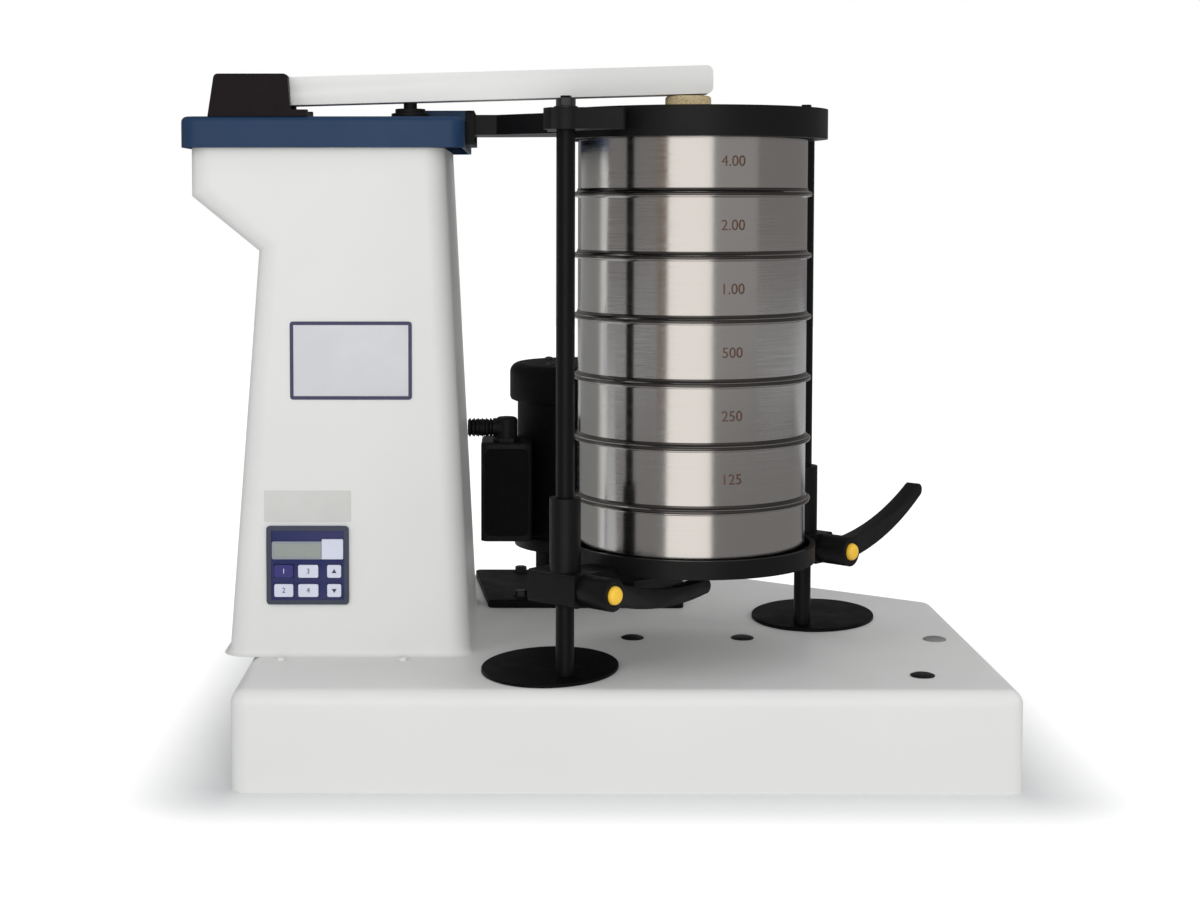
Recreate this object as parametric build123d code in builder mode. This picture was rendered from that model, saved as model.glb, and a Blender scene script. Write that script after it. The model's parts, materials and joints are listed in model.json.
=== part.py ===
from build123d import *
import os
from math import atan2, cos, degrees, radians, sin

# Tapping sieve shaker for a nest of 200 mm class sieves.
# Frame: origin at the centre of the base's underside, X to the right, Y to the back, Z up, millimetres.

# Driving dimensions of the base
base_width = 667
base_depth = 533
base_height = 86.5
base_wall = 4
base_corner = 16
base_edge = 13
rear_cut_x = 203.5
rear_cut_y = 153
bottom_thickness = 4
seat_gap = 0.3
running_gap = 0.05
slot_play = 1.5
plug_radius = 8
plug_overlap = 2.5
foot_screw_radius = 5
foot_screw_height = 2.5
foot_screw_stand_off = 14
foot_screw_inset_left = 50
foot_screw_inset_right = 60

# Driving dimensions of the tower and its cover
tower_top = 543
tower_front = -137
tower_depth = 260
tower_wall = 4
tower_foot_left = -353
tower_foot_right = -134
tower_top_left = -384
tower_top_right = -157
neck_left = -324
neck_drop = 92
overhang_drop = 43
tower_corner = 20
tower_edge_corner = 14
cover_edge = 5
slot_margin = 3
slot_under_arm = 4
wiper_margin = 5
arm_rise = 11
cover_margin = 8
cover_right = -139
cover_height = 27.5
cover_wall = 2.5
hood_height = 7
hood_length = 39

# Driving dimensions of the sieve nest
nest_x = 65
nest_y = -115
sieve_radius = 102.5
sieve_bead = 4
sieve_pitch = 54.4
sieve_sheet = 1.2
skirt_depth = 12
sieve_count = 6
pan_height = 51
nest_rise = 15.4

# Driving dimensions of the drive
orbit = 14
main_x = -240
main_y = -40
main_radius = 12
crank_pin_radius = 8
motor_x = -22
motor_y = 165
motor_radius = 70
motor_cap_radius = 78
motor_bottom = 150
motor_length = 139
motor_cap_height = 39
motor_cap_edge = 10
leg_inset = 12
leg_width = 14
pedestal_rim = 3
motor_shaft_radius = 8
motor_pulley_radius = 13
pulley_ratio = 6.2
belt_level = 58
belt_width = 12
shaft_gear_teeth = 20
cam_gear_teeth = 37
gear_module = 2
gear_drop = 145
gear_width = 10
cam_direction = -60.5
cam_radius = 40

# Driving dimensions of the carriage
post_radius = 8
left_post_x = -51
left_post_y = -220
right_post_x = 182
right_post_y = -10
ring_width = 17.5
ring_height = 26
ring_grip = 8
ring_lip = 8
arm_above_ring_bottom = 5.5
lug_radius_left = 19
lug_radius_right = 20
lug_root_radius = 60
arm_thickness = 18
disc_width = 118
disc_length = 148
disc_thickness = 3
carrier_level = 28
carrier_thickness = 14
carrier_boss_radius = 22
washer_radius = 10
washer_thickness = 1.6
nut_radius = 8.5
nut_height = 7

# Driving dimensions of the support plate and its clamps
sleeve_radius = 13.5
sleeve_height = 78
rim_height = 8
web_end_radius = 24
table_thickness = 8
table_margin = 9.5
sleeve_drop = 16
screw_drop = 15
web_step = 3
clamp_edge = 3
clamp_direction = -43
clamp_block_width = 30
clamp_block_height = 28
clamp_block_front = 24
clamp_block_back = 30
clamp_stud_radius = 5
hub_radius = 14
hub_length = 31
lever_reach = 138
lever_bow = 7
lever_tip_radius = 6.5
lever_thickness = 13
lever_inset = 4
left_lever_turn = -5
right_lever_turn = 20
button_depth = 5
button_radius = 8
button_travel = 3
button_rise = 5

# Driving dimensions of the hammer
pivot_x = -335
pivot_rise = 49
hammer_width = 32
hammer_height = 25
hammer_right = 82
hammer_slope = 1.6
hammer_pin_radius = 5
rod_x = -188
rod_radius = 6
rod_lift = 12
rod_length = 159
rod_foot = 3
rod_foot_height = 5
bush_wall = 5
bush_length = 70
guide_disc_radius = 17
guide_disc_height = 3.5
guide_collar_radius = 13.5
guide_collar_height = 4
housing_reach_left = 31
housing_reach_right = 42
housing_rise = 16
housing_cheeks = 24
housing_tongue = 15
housing_tongue_height = 6
housing_floor = 4
housing_wall = 12
cork_radius = 20.5
cork_offset = 4

# Places that follow from the driving dimensions
base_right = base_width / 2
base_back = base_depth / 2
main_axis = (main_x, main_y)
crank_axis = (main_x, main_y - orbit)
motor_axis = (motor_x, motor_y)
left_post = (left_post_x, left_post_y)
right_post = (right_post_x, right_post_y)
nest_axis = (nest_x, nest_y)
neck_height = tower_top - neck_drop
overhang_height = tower_top - overhang_drop
gear_level = tower_top - gear_drop
pan_floor = tower_top + nest_rise - sieve_count * sieve_pitch - pan_height
stack_bottom = pan_floor + pan_height
stack_top = stack_bottom + sieve_count * sieve_pitch
bead_radius = sieve_radius + sieve_bead
ring_radius = bead_radius + ring_width - sieve_bead
ring_bottom = stack_top - ring_grip
ring_top = ring_bottom + ring_height
arm_bottom = ring_bottom + arm_above_ring_bottom
arm_top = arm_bottom + arm_thickness
cover_left = tower_top_left - cover_margin + 1
cover_front = tower_front - cover_margin
cover_depth = tower_depth + 2 * cover_margin
cover_top = tower_top + cover_height
hood_top = cover_top + hood_height
pivot_level = tower_top + pivot_rise

os.makedirs("parts", exist_ok=True)


def save(piece, name):
    """Label a finished piece and write its STEP file."""
    piece.label = name
    export_step(piece, f"parts/{name}.step")


# Base: a deep pressed box, open below, with its rear right corner cut off
left_hole = (left_post_x, left_post_y + orbit)
right_hole = (right_post_x, right_post_y + orbit)
post_hole_radius = post_radius + orbit + slot_play
shaft_hole_radius = main_radius + 6
plug_places = [(16, -61), (119, -61), (258, -208)]
grey_plug_place = (298, -66)


def base_outline(inset):
    """The base's plan outline, moved inwards by inset."""
    with BuildSketch() as outline:
        with BuildLine():
            Polyline(
                (-base_right, -base_back),
                (base_right, -base_back),
                (base_right, base_back - rear_cut_y),
                (base_right - rear_cut_x, base_back),
                (-base_right, base_back),
                close=True,
            )
        make_face()
        fillet(vertices(), radius=base_corner)
        if inset > 0:
            offset(amount=-inset, kind=Kind.INTERSECTION)
    return outline.sketch


with BuildPart() as base_housing:
    add(base_outline(0))
    extrude(amount=base_height)
    fillet(faces().sort_by(Axis.Z)[-1].edges(), radius=base_edge)
    offset(amount=-base_wall, openings=faces().sort_by(Axis.Z)[0])
    with BuildSketch(Plane.XY.offset(base_height)):
        with Locations(left_hole, right_hole):
            Circle(post_hole_radius)
        with Locations(main_axis, motor_axis):
            Circle(shaft_hole_radius)
        with Locations(*plug_places, grey_plug_place):
            Circle(plug_radius)
    extrude(amount=-3 * base_wall, mode=Mode.SUBTRACT)
save(base_housing.part, "base_housing")

with BuildPart() as base_bottom:
    add(base_outline(base_wall + seat_gap))
    extrude(amount=bottom_thickness)
save(base_bottom.part, "base_bottom")

# Domed plugs: a stem through the base's top and a low dome over it
plug_head_radius = plug_radius + plug_overlap
plug_head_height = 2


def plug_profile():
    """Half section of a plug about the vertical line X = 0."""
    with BuildSketch(Plane.XZ) as profile:
        with BuildLine():
            Polyline(
                (0, -base_wall),
                (plug_radius, -base_wall),
                (plug_radius, 0),
                (plug_head_radius, 0),
                (plug_head_radius, plug_head_height / 2),
                (plug_radius, plug_head_height),
                (0, plug_head_height),
                close=True,
            )
        make_face()
    return profile.sketch


with BuildPart() as plug:
    add(plug_profile())
    revolve(axis=Axis.Z)
with BuildPart() as hole_plugs:
    with Locations(*[(x, y, base_height) for x, y in plug_places]):
        add(plug.part)
save(hole_plugs.part, "hole_plugs")
with BuildPart() as grey_plug:
    with Locations((grey_plug_place[0], grey_plug_place[1], base_height)):
        add(plug.part)
save(grey_plug.part, "grey_plug")


# Tower: a tapered sheet housing, open at the top, that leans out to the left at its head
def tower_body(inset, end_cut):
    """The tower's outer form, or its inner one when inset is a wall thickness."""
    with BuildPart() as body:
        with BuildSketch(Plane.XZ.offset(-tower_front - inset)):
            with BuildLine():
                Polyline(
                    (tower_foot_left + inset, base_height - end_cut),
                    (tower_foot_right - inset, base_height - end_cut),
                    (tower_top_right - inset, tower_top + end_cut),
                    (tower_top_left + inset, tower_top + end_cut),
                    (tower_top_left + inset, overhang_height + inset / 2),
                    (neck_left + inset, neck_height + inset / 2),
                    close=True,
                )
            make_face()
        extrude(amount=-(tower_depth - 2 * inset))
        fillet(edges().filter_by(Axis.Y, reverse=True).filter_by(is_rising), radius=tower_corner - inset)
    return body.part


def is_rising(edge):
    """True for the corner edges that run up the tower."""
    box = edge.bounding_box()
    return box.size.Z > 20 and box.size.Y < 0.001


with BuildPart() as tower_housing:
    add(tower_body(0, 0))
    add(tower_body(tower_wall, 1), mode=Mode.SUBTRACT)
save(tower_housing.part, "tower_housing")

# Two screws hold the tower's foot to the base, in front of it
with BuildPart() as foot_screws:
    with BuildSketch(Plane.XY.offset(base_height)):
        with Locations(
            (tower_foot_left + foot_screw_inset_left, tower_front - foot_screw_stand_off),
            (tower_foot_right - foot_screw_inset_right, tower_front - foot_screw_stand_off),
        ):
            RegularPolygon(radius=foot_screw_radius, side_count=6)
    extrude(amount=foot_screw_height)
save(foot_screws.part, "foot_screws")

# Cover: a shallow lid with a hood at its right end, where the carriage's arm comes out
arm_front = -90
arm_back = -15
slot_front = arm_front - slot_margin
slot_back = arm_back + 2 * orbit + slot_margin
hood_left = cover_right - hood_length
arm_step_x = cover_right - hood_length + orbit + 6
inner_arm_bottom = tower_top + arm_rise
slot_bottom = inner_arm_bottom - slot_under_arm
inner_arm_top = cover_top - cover_wall - 2

with BuildPart() as top_cover:
    with BuildSketch(Plane.XY.offset(tower_top)):
        with BuildLine():
            Polyline(
                (cover_left, cover_front),
                (cover_right, cover_front),
                (cover_right, cover_front + cover_depth),
                (cover_left, cover_front + cover_depth),
                close=True,
            )
        make_face()
    extrude(amount=cover_height)
    fillet(edges().filter_by(Axis.Z), radius=tower_edge_corner)
    fillet(faces().sort_by(Axis.Z)[-1].edges(), radius=cover_edge)
    with BuildSketch(Plane.XY.offset(cover_top - cover_edge - 1)):
        with BuildLine():
            Polyline(
                (hood_left, slot_front - cover_wall),
                (cover_right, slot_front - cover_wall),
                (cover_right, slot_back + cover_wall),
                (hood_left, slot_back + cover_wall),
                close=True,
            )
        make_face()
    extrude(amount=hood_height + cover_edge + 1)
    # The hollow under the lid and under the hood, open to the right as the arm's slot
    with BuildSketch(Plane.XY.offset(tower_top)):
        with BuildLine():
            Polyline(
                (cover_left + cover_wall, cover_front + cover_wall),
                (cover_right - cover_wall, cover_front + cover_wall),
                (cover_right - cover_wall, cover_front + cover_depth - cover_wall),
                (cover_left + cover_wall, cover_front + cover_depth - cover_wall),
                close=True,
            )
        make_face()
        fillet(vertices(), radius=tower_edge_corner - cover_wall)
    extrude(amount=cover_height - cover_wall, mode=Mode.SUBTRACT)
    with BuildSketch(Plane.XY.offset(slot_bottom)):
        with BuildLine():
            Polyline(
                (hood_left + cover_wall, slot_front),
                (cover_right + 1, slot_front),
                (cover_right + 1, slot_back),
                (hood_left + cover_wall, slot_back),
                close=True,
            )
        make_face()
    extrude(amount=hood_top - cover_wall - slot_bottom, mode=Mode.SUBTRACT)
    with BuildSketch(Plane.XY.offset(tower_top)):
        with Locations((rod_x, nest_y)):
            Circle(rod_radius + bush_wall)
    extrude(amount=cover_height, mode=Mode.SUBTRACT)
save(top_cover.part, "top_cover")

# Black frame round the slot that the arm comes out of
wiper_thickness = 8
wiper_border = 3
with BuildPart() as arm_wiper:
    with BuildSketch(Plane.YZ.offset(cover_right)):
        with BuildLine():
            Polyline(
                (slot_front - wiper_margin, slot_bottom - wiper_border),
                (slot_back + wiper_margin, slot_bottom - wiper_border),
                (slot_back + wiper_margin, hood_top),
                (slot_front - wiper_margin, hood_top),
                close=True,
            )
        make_face()
        with BuildLine():
            Polyline(
                (slot_front, slot_bottom),
                (slot_back, slot_bottom),
                (slot_back, hood_top - cover_wall),
                (slot_front, hood_top - cover_wall),
                close=True,
            )
        make_face(mode=Mode.SUBTRACT)
    extrude(amount=wiper_thickness)
save(arm_wiper.part, "arm_wiper")

# Guide of the lift rod: two stepped discs on the cover and a long bush below it
rod_axis = (rod_x, nest_y)
with BuildPart() as rod_guide:
    with BuildSketch(Plane.XY.offset(cover_top)):
        with Locations(rod_axis):
            Circle(guide_disc_radius)
    extrude(amount=guide_disc_height)
    with BuildSketch(Plane.XY.offset(cover_top + guide_disc_height)):
        with Locations(rod_axis):
            Circle(guide_collar_radius)
    extrude(amount=guide_collar_height)
    with BuildSketch(Plane.XY.offset(cover_top)):
        with Locations(rod_axis):
            Circle(rod_radius + bush_wall - seat_gap)
    extrude(amount=-bush_length)
    with BuildSketch(Plane.XY.offset(cover_top - bush_length)):
        with Locations(rod_axis):
            Circle(rod_radius + running_gap)
    extrude(
        amount=bush_length + guide_disc_height + guide_collar_height, mode=Mode.SUBTRACT
    )
save(rod_guide.part, "rod_guide")


def hammer_underside(x):
    """Height of the hammer bar's lower face above the point x, at rest."""
    return pivot_level - hammer_height / 2 + (x - pivot_x) * sin(radians(hammer_slope))


with BuildPart() as lift_rod:
    rod_top = hammer_underside(rod_x - rod_radius) - seat_gap
    with BuildSketch(Plane.XY.offset(rod_top)):
        with Locations(rod_axis):
            Circle(rod_radius)
    extrude(amount=-rod_length)
    with BuildSketch(Plane.XY.offset(rod_top - rod_length)):
        with Locations(rod_axis):
            Circle(rod_radius + rod_foot)
    extrude(amount=rod_foot_height)
save(lift_rod.part, "lift_rod")

# Pivot housing: a black block with a slot for the hammer bar, open to the right and above
housing_left = pivot_x - housing_reach_left
housing_right = pivot_x + housing_reach_right
housing_top = pivot_level + housing_rise
housing_width = hammer_width + housing_cheeks
slot_width = hammer_width + 2
pin_cover = 4
with BuildPart() as pivot_housing:
    with BuildSketch(Plane.XZ.offset(-nest_y + housing_width / 2)):
        with BuildLine():
            Polyline(
                (housing_left, cover_top),
                (housing_right + housing_tongue, cover_top),
                (housing_right + housing_tongue, cover_top + housing_tongue_height),
                (housing_right, cover_top + housing_tongue_height),
                (housing_right - 2, housing_top),
                (housing_left + 6, housing_top),
                close=True,
            )
        make_face()
    extrude(amount=-housing_width)
    fillet(edges().filter_by(Axis.Y).sort_by(Axis.Z)[-2:], radius=4)
    with BuildSketch(Plane.XZ.offset(-nest_y + slot_width / 2)):
        with BuildLine():
            Polyline(
                (housing_left + housing_wall, cover_top + housing_floor),
                (housing_right + housing_tongue + 1, cover_top + housing_floor),
                (housing_right + housing_tongue + 1, housing_top + 1),
                (housing_left + housing_wall, housing_top + 1),
                close=True,
            )
        make_face()
    extrude(amount=-slot_width, mode=Mode.SUBTRACT)
    # The pin's bore stops short of the front face
    with BuildSketch(Plane.XZ.offset(-nest_y + housing_width / 2 - pin_cover)):
        with Locations((pivot_x, pivot_level)):
            Circle(hammer_pin_radius + running_gap)
    extrude(amount=-housing_width, mode=Mode.SUBTRACT)
save(pivot_housing.part, "pivot_housing")

with BuildPart() as hammer_pin:
    with BuildSketch(Plane.XZ.offset(-nest_y + housing_width / 2 - pin_cover - seat_gap)):
        with Locations((pivot_x, pivot_level)):
            Circle(hammer_pin_radius)
    extrude(amount=pin_cover + seat_gap - housing_width)
save(hammer_pin.part, "hammer_pin")

# Hammer bar: a square bar with a rounded tip that lies on the cork
with BuildPart() as hammer_bar:
    hammer_plane = Plane(
        origin=(pivot_x, nest_y - hammer_width / 2, pivot_level),
        x_dir=(cos(radians(hammer_slope)), 0, sin(radians(hammer_slope))),
        z_dir=(0, -1, 0),
    )
    with BuildSketch(hammer_plane):
        with BuildLine():
            Polyline(
                (0, -hammer_height / 2),
                (hammer_right - pivot_x, -hammer_height / 2),
                (hammer_right - pivot_x, hammer_height / 2),
                (0, hammer_height / 2),
                close=True,
            )
        make_face()
        fillet(vertices().group_by(Axis.X)[-1], radius=6)
        Circle(hammer_height / 2)
        Circle(hammer_pin_radius + running_gap, mode=Mode.SUBTRACT)
    extrude(amount=-hammer_width)
save(hammer_bar.part, "hammer_bar")


# Tower front: blank nameplate, pale blank patch and the keypad
def front_plate(left, right, bottom, top, lift, thickness, radius):
    """A rounded rectangular plate, lift in front of the tower's face."""
    with BuildPart() as plate:
        with BuildSketch(Plane.XZ.offset(-tower_front + lift)):
            with Locations(((left + right) / 2, (bottom + top) / 2)):
                RectangleRounded(right - left, top - bottom, radius)
        extrude(amount=thickness)
    return plate.part


nameplate_left = -295
nameplate_bottom = 318.5
nameplate_width = 109
nameplate_height = 70
nameplate = front_plate(
    nameplate_left,
    nameplate_left + nameplate_width,
    nameplate_bottom,
    nameplate_bottom + nameplate_height,
    0,
    1,
    2,
)
save(nameplate, "nameplate")
patch_left = -319
patch_bottom = 208.5
patch_width = 78
patch_height = 28
blank_patch = front_plate(
    patch_left, patch_left + patch_width, patch_bottom, patch_bottom + patch_height, 0, 0.5, 1
)
save(blank_patch, "blank_patch")

# Keypad: panel with a display and six keys in their openings
panel_left = -317
panel_bottom = 134
panel_width = 74
panel_height = 71
panel_thickness = 2.4
display_width = 64
display_height = 16
key_height = 11.5
key_columns = [(7, 17), (28.5, 18), (54.5, 12.5)]
key_rows = [24.3, 6.9]
key_travel = 0.5
with BuildPart() as keypad_panel:
    add(front_plate(panel_left, panel_left + panel_width, panel_bottom, panel_bottom + panel_height,
                    0, panel_thickness, 4))
    with BuildSketch(Plane.XZ.offset(-tower_front + panel_thickness)):
        for offset_x, width in key_columns:
            for offset_z in key_rows:
                key_middle = (panel_left + offset_x + width / 2, panel_bottom + offset_z + key_height / 2)
                with Locations(key_middle):
                    Rectangle(width + 2 * seat_gap, key_height + 2 * seat_gap)
    extrude(amount=-(panel_thickness - 0.6), mode=Mode.SUBTRACT)
save(keypad_panel.part, "keypad_panel")
display_left = panel_left + 5
display_bottom = panel_bottom + 41
display_window = front_plate(
    display_left, display_left + display_width, display_bottom, display_bottom + display_height,
    panel_thickness, 0.8, 1.5
)
save(display_window, "display_window")
key_number = 0
for offset_x, width in key_columns:
    for offset_z in key_rows:
        key_number += 1
        key_left = panel_left + offset_x
        key_bottom = panel_bottom + offset_z
        key = front_plate(
            key_left, key_left + width, key_bottom, key_bottom + key_height,
            0.6 + key_travel + 0.1, panel_thickness - 0.6, 1.5
        )
        save(key, f"key_{key_number}")

# Drive: bearings, main shaft with its two crank pins, pulley, belt and gears inside the housings
bearing_thickness = 12
bearing_gap = 0.6
foot_bearing_rise = 12
head_bearing_drop = 40
gear_bearing_drop = 30
foot_bearing_level = base_height + foot_bearing_rise
head_bearing_level = tower_top - head_bearing_drop
gear_bearing_level = gear_level - gear_bearing_drop
cam_distance = (shaft_gear_teeth + cam_gear_teeth) * gear_module / 2
cam_x = main_x + cam_distance * cos(radians(cam_direction))
cam_y = main_y + cam_distance * sin(radians(cam_direction))
cam_axis = (cam_x, cam_y)
cam_shaft_radius = 7


def tower_right_at(level):
    """Inner face of the tower's right wall at a height."""
    rise = (level - base_height) / (tower_top - base_height)
    return tower_foot_right + (tower_top_right - tower_foot_right) * rise - tower_wall


def tower_left_at(level):
    """Inner face of the tower's left wall below the neck, at a height."""
    rise = (level - base_height) / (neck_height - base_height)
    return tower_foot_left + (neck_left - tower_foot_left) * min(rise, 1) + tower_wall


def bearing_plate(level, bores):
    """A plate across the tower, seated on its inner walls, with a bore for each shaft."""
    left = tower_left_at(level + bearing_thickness) + bearing_gap
    right = tower_right_at(level + bearing_thickness) - bearing_gap
    front = tower_front + tower_wall + seat_gap
    back = tower_front + tower_depth - tower_wall - seat_gap
    with BuildPart() as plate:
        with BuildSketch(Plane.XY.offset(level)):
            with Locations(((left + right) / 2, (front + back) / 2)):
                RectangleRounded(right - left, back - front, tower_corner)
            for place, radius in bores:
                with Locations(place):
                    Circle(radius + running_gap, mode=Mode.SUBTRACT)
        extrude(amount=bearing_thickness)
    return plate.part


with BuildPart() as shaft_bearings:
    add(bearing_plate(foot_bearing_level, [(main_axis, main_radius)]))
    add(bearing_plate(gear_bearing_level, [(main_axis, main_radius), (cam_axis, cam_shaft_radius)]))
    add(bearing_plate(head_bearing_level, [(main_axis, main_radius), (rod_axis, rod_radius + bush_wall)]))
save(shaft_bearings.part, "shaft_bearings")

web_radius = orbit + crank_pin_radius + 6
lower_web_top = belt_level - 6
lower_web_bottom = carrier_level + carrier_thickness + 1
upper_web_bottom = tower_top - 6
upper_web_top = inner_arm_bottom - 1
with BuildPart() as main_shaft:
    with BuildSketch(Plane.XY.offset(lower_web_top)):
        with Locations(main_axis):
            Circle(main_radius)
    extrude(amount=upper_web_bottom - lower_web_top)
    with BuildSketch(Plane.XY.offset(lower_web_bottom)):
        with Locations(main_axis):
            Circle(web_radius)
    extrude(amount=lower_web_top - lower_web_bottom)
    with BuildSketch(Plane.XY.offset(upper_web_bottom)):
        with Locations(main_axis):
            Circle(web_radius)
    extrude(amount=upper_web_top - upper_web_bottom)
    with BuildSketch(Plane.XY.offset(carrier_level + 2)):
        with Locations(crank_axis):
            Circle(crank_pin_radius)
    extrude(amount=lower_web_bottom - carrier_level - 2)
    with BuildSketch(Plane.XY.offset(upper_web_top)):
        with Locations(crank_axis):
            Circle(crank_pin_radius)
    extrude(amount=inner_arm_top - upper_web_top)
save(main_shaft.part, "main_shaft")


def grooved_pulley(place, radius, bore):
    """A flat belt pulley with two thin flanges."""
    with BuildPart() as pulley:
        with BuildSketch(Plane.XY.offset(belt_level)):
            with Locations(place):
                Circle(radius)
                Circle(bore, mode=Mode.SUBTRACT)
        extrude(amount=belt_width + 2)
        with BuildSketch(Plane.XY.offset(belt_level), Plane.XY.offset(belt_level + belt_width + 2)):
            with Locations(place):
                Circle(radius + 5)
                Circle(bore, mode=Mode.SUBTRACT)
        extrude(amount=-2)
    return pulley.part


main_pulley_radius = motor_pulley_radius * pulley_ratio
save(grooved_pulley(main_axis, main_pulley_radius, main_radius + running_gap), "main_pulley")

# Motor shaft with its small pulley
with BuildPart() as motor_shaft:
    add(grooved_pulley(motor_axis, motor_pulley_radius, motor_shaft_radius / 2))
    with BuildSketch(Plane.XY.offset(belt_level - 2)):
        with Locations(motor_axis):
            Circle(motor_shaft_radius)
    extrude(amount=motor_bottom + 20 - belt_level + 2)
save(motor_shaft.part, "motor_shaft")

# Belt round both pulleys
belt_thickness = 3
belt_gap = seat_gap
with BuildPart() as drive_belt:
    with BuildSketch(Plane.XY.offset(belt_level + 1)):
        with Locations(main_axis):
            Circle(main_pulley_radius + belt_gap + belt_thickness)
        with Locations(motor_axis):
            Circle(motor_pulley_radius + belt_gap + belt_thickness)
        make_hull()
    extrude(amount=belt_width - 2)
    with BuildSketch(Plane.XY.offset(belt_level + 1)):
        with Locations(main_axis):
            Circle(main_pulley_radius + belt_gap)
        with Locations(motor_axis):
            Circle(motor_pulley_radius + belt_gap)
        make_hull()
    extrude(amount=belt_width - 2, mode=Mode.SUBTRACT)
save(drive_belt.part, "drive_belt")


def spur_gear(place, teeth, bore, phase):
    """A spur gear with straight tapered teeth and some backlash, phase in degrees."""
    pitch_radius = teeth * gear_module / 2
    root_radius = pitch_radius - 1.2 * gear_module
    tip_radius = pitch_radius + 0.75 * gear_module
    step = 360 / teeth
    with BuildPart() as gear:
        with BuildSketch(Plane.XY.offset(gear_level)):
            with Locations(place):
                Circle(root_radius)
                with PolarLocations(0, teeth, start_angle=phase):
                    with BuildLine(mode=Mode.PRIVATE) as tooth:
                        Polyline(
                            (root_radius - 1, -root_radius * sin(radians(0.25 * step))),
                            (tip_radius, -tip_radius * sin(radians(0.11 * step))),
                            (tip_radius, tip_radius * sin(radians(0.11 * step))),
                            (root_radius - 1, root_radius * sin(radians(0.25 * step))),
                            close=True,
                        )
                    add(make_face(tooth.edges(), mode=Mode.PRIVATE))
                Circle(bore, mode=Mode.SUBTRACT)
        extrude(amount=gear_width)
    return gear.part


gear_phase = cam_direction
save(spur_gear(main_axis, shaft_gear_teeth, main_radius + running_gap, gear_phase), "main_gear")

# Cam shaft: gear and a sloping face cam under the lift rod
cam_bottom = gear_level + gear_width + 2
cam_top = rod_top - rod_length - 1
cam_slope = degrees(atan2(rod_lift, 2 * cam_radius))
with BuildPart() as cam_shaft:
    add(spur_gear(cam_axis, cam_gear_teeth, cam_shaft_radius / 2, gear_phase + 180 + 180 / cam_gear_teeth))
    with BuildSketch(Plane.XY.offset(gear_bearing_level - 6)):
        with Locations(cam_axis):
            Circle(cam_shaft_radius)
    extrude(amount=cam_bottom - gear_bearing_level + 6)
    with BuildSketch(Plane.XY.offset(cam_bottom)):
        with Locations(cam_axis):
            Circle(cam_radius)
    extrude(amount=cam_top - cam_bottom)
    split(
        bisect_by=Plane(
            origin=(cam_x, cam_y, cam_top - rod_lift / 2),
            z_dir=(sin(radians(cam_slope)), 0, cos(radians(cam_slope))),
        ),
        keep=Keep.BOTTOM,
    )
save(cam_shaft.part, "cam_shaft")


# Carriage: upper ring with its arm, two posts, lower carrier and the dust discs
def webbed(level, thickness, place, radius, centre, centre_radius):
    """A plate whose outline wraps a boss and a larger circle."""
    with BuildPart() as web:
        with BuildSketch(Plane.XY.offset(level)):
            with Locations(place):
                Circle(radius)
            with Locations(centre):
                Circle(centre_radius)
            make_hull()
        extrude(amount=thickness)
    return web.part


lip_radius = bead_radius - ring_lip
lid_top = stack_top + 2
crank_eye_radius = 26
lug_left = 15
lug_right = 50
lug_front = 17
with BuildPart() as upper_plate:
    with BuildSketch(Plane.XY.offset(ring_bottom)):
        with Locations(nest_axis):
            Circle(ring_radius)
    extrude(amount=ring_height)
    add(webbed(arm_bottom, arm_thickness, left_post, lug_radius_left, nest_axis, lug_root_radius))
    add(webbed(arm_bottom, arm_thickness, right_post, lug_radius_right, nest_axis, lug_root_radius))
    # Block that carries the left post's head, flush with the ring's left end
    with BuildSketch(Plane.XY.offset(arm_bottom)):
        with BuildLine():
            Polyline(
                (left_post_x - lug_left, left_post_y - lug_front),
                (left_post_x + lug_right, left_post_y - lug_front),
                (left_post_x + lug_right, nest_y - lip_radius / 2),
                (left_post_x - lug_left, nest_y - lip_radius / 2),
                close=True,
            )
        make_face()
        fillet(vertices(), radius=3)
    extrude(amount=arm_thickness)
    # Arm towards the tower: thick outside the cover, thinner inside it
    with BuildSketch(Plane.XY.offset(arm_bottom)):
        with BuildLine():
            Polyline(
                (arm_step_x, arm_front),
                (cover_right + 2 * orbit, arm_front),
                (nest_x - 60, nest_y - 75),
                (nest_x - 60, nest_y + 85),
                (cover_right + 2 * orbit, arm_back),
                (arm_step_x, arm_back),
                close=True,
            )
        make_face()
    extrude(amount=arm_thickness)
    with BuildSketch(Plane.XY.offset(inner_arm_bottom)):
        with BuildLine():
            Polyline(
                (arm_step_x + 1, arm_front + 6),
                (arm_step_x + 1, arm_back - 6),
                (main_x, main_y - orbit + crank_eye_radius),
                (main_x, main_y - orbit - crank_eye_radius),
                close=True,
            )
        make_face()
        with Locations(crank_axis):
            Circle(crank_eye_radius)
    extrude(amount=inner_arm_top - inner_arm_bottom)
    with BuildSketch(Plane.XY.offset(inner_arm_bottom)):
        with Locations(crank_axis):
            Circle(crank_pin_radius + running_gap)
    extrude(amount=inner_arm_top - inner_arm_bottom, mode=Mode.SUBTRACT)
    # Recess for the top sieve's rim under an inner lip
    with BuildSketch(Plane.XY.offset(ring_bottom)):
        with Locations(nest_axis):
            Circle(bead_radius + 1)
    extrude(amount=lid_top + seat_gap - ring_bottom, mode=Mode.SUBTRACT)
    with BuildSketch(Plane.XY.offset(ring_bottom)):
        with Locations(nest_axis):
            Circle(lip_radius)
        with Locations(left_post, right_post):
            Circle(post_radius)
    extrude(amount=ring_height, mode=Mode.SUBTRACT)
save(upper_plate.part, "upper_plate")

post_top = arm_top
for post_name, place in (("post_left", left_post), ("post_right", right_post)):
    with BuildPart() as post:
        with BuildSketch(Plane.XY.offset(carrier_level)):
            with Locations(place):
                Circle(post_radius)
        extrude(amount=post_top - carrier_level)
    save(post.part, post_name)

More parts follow.
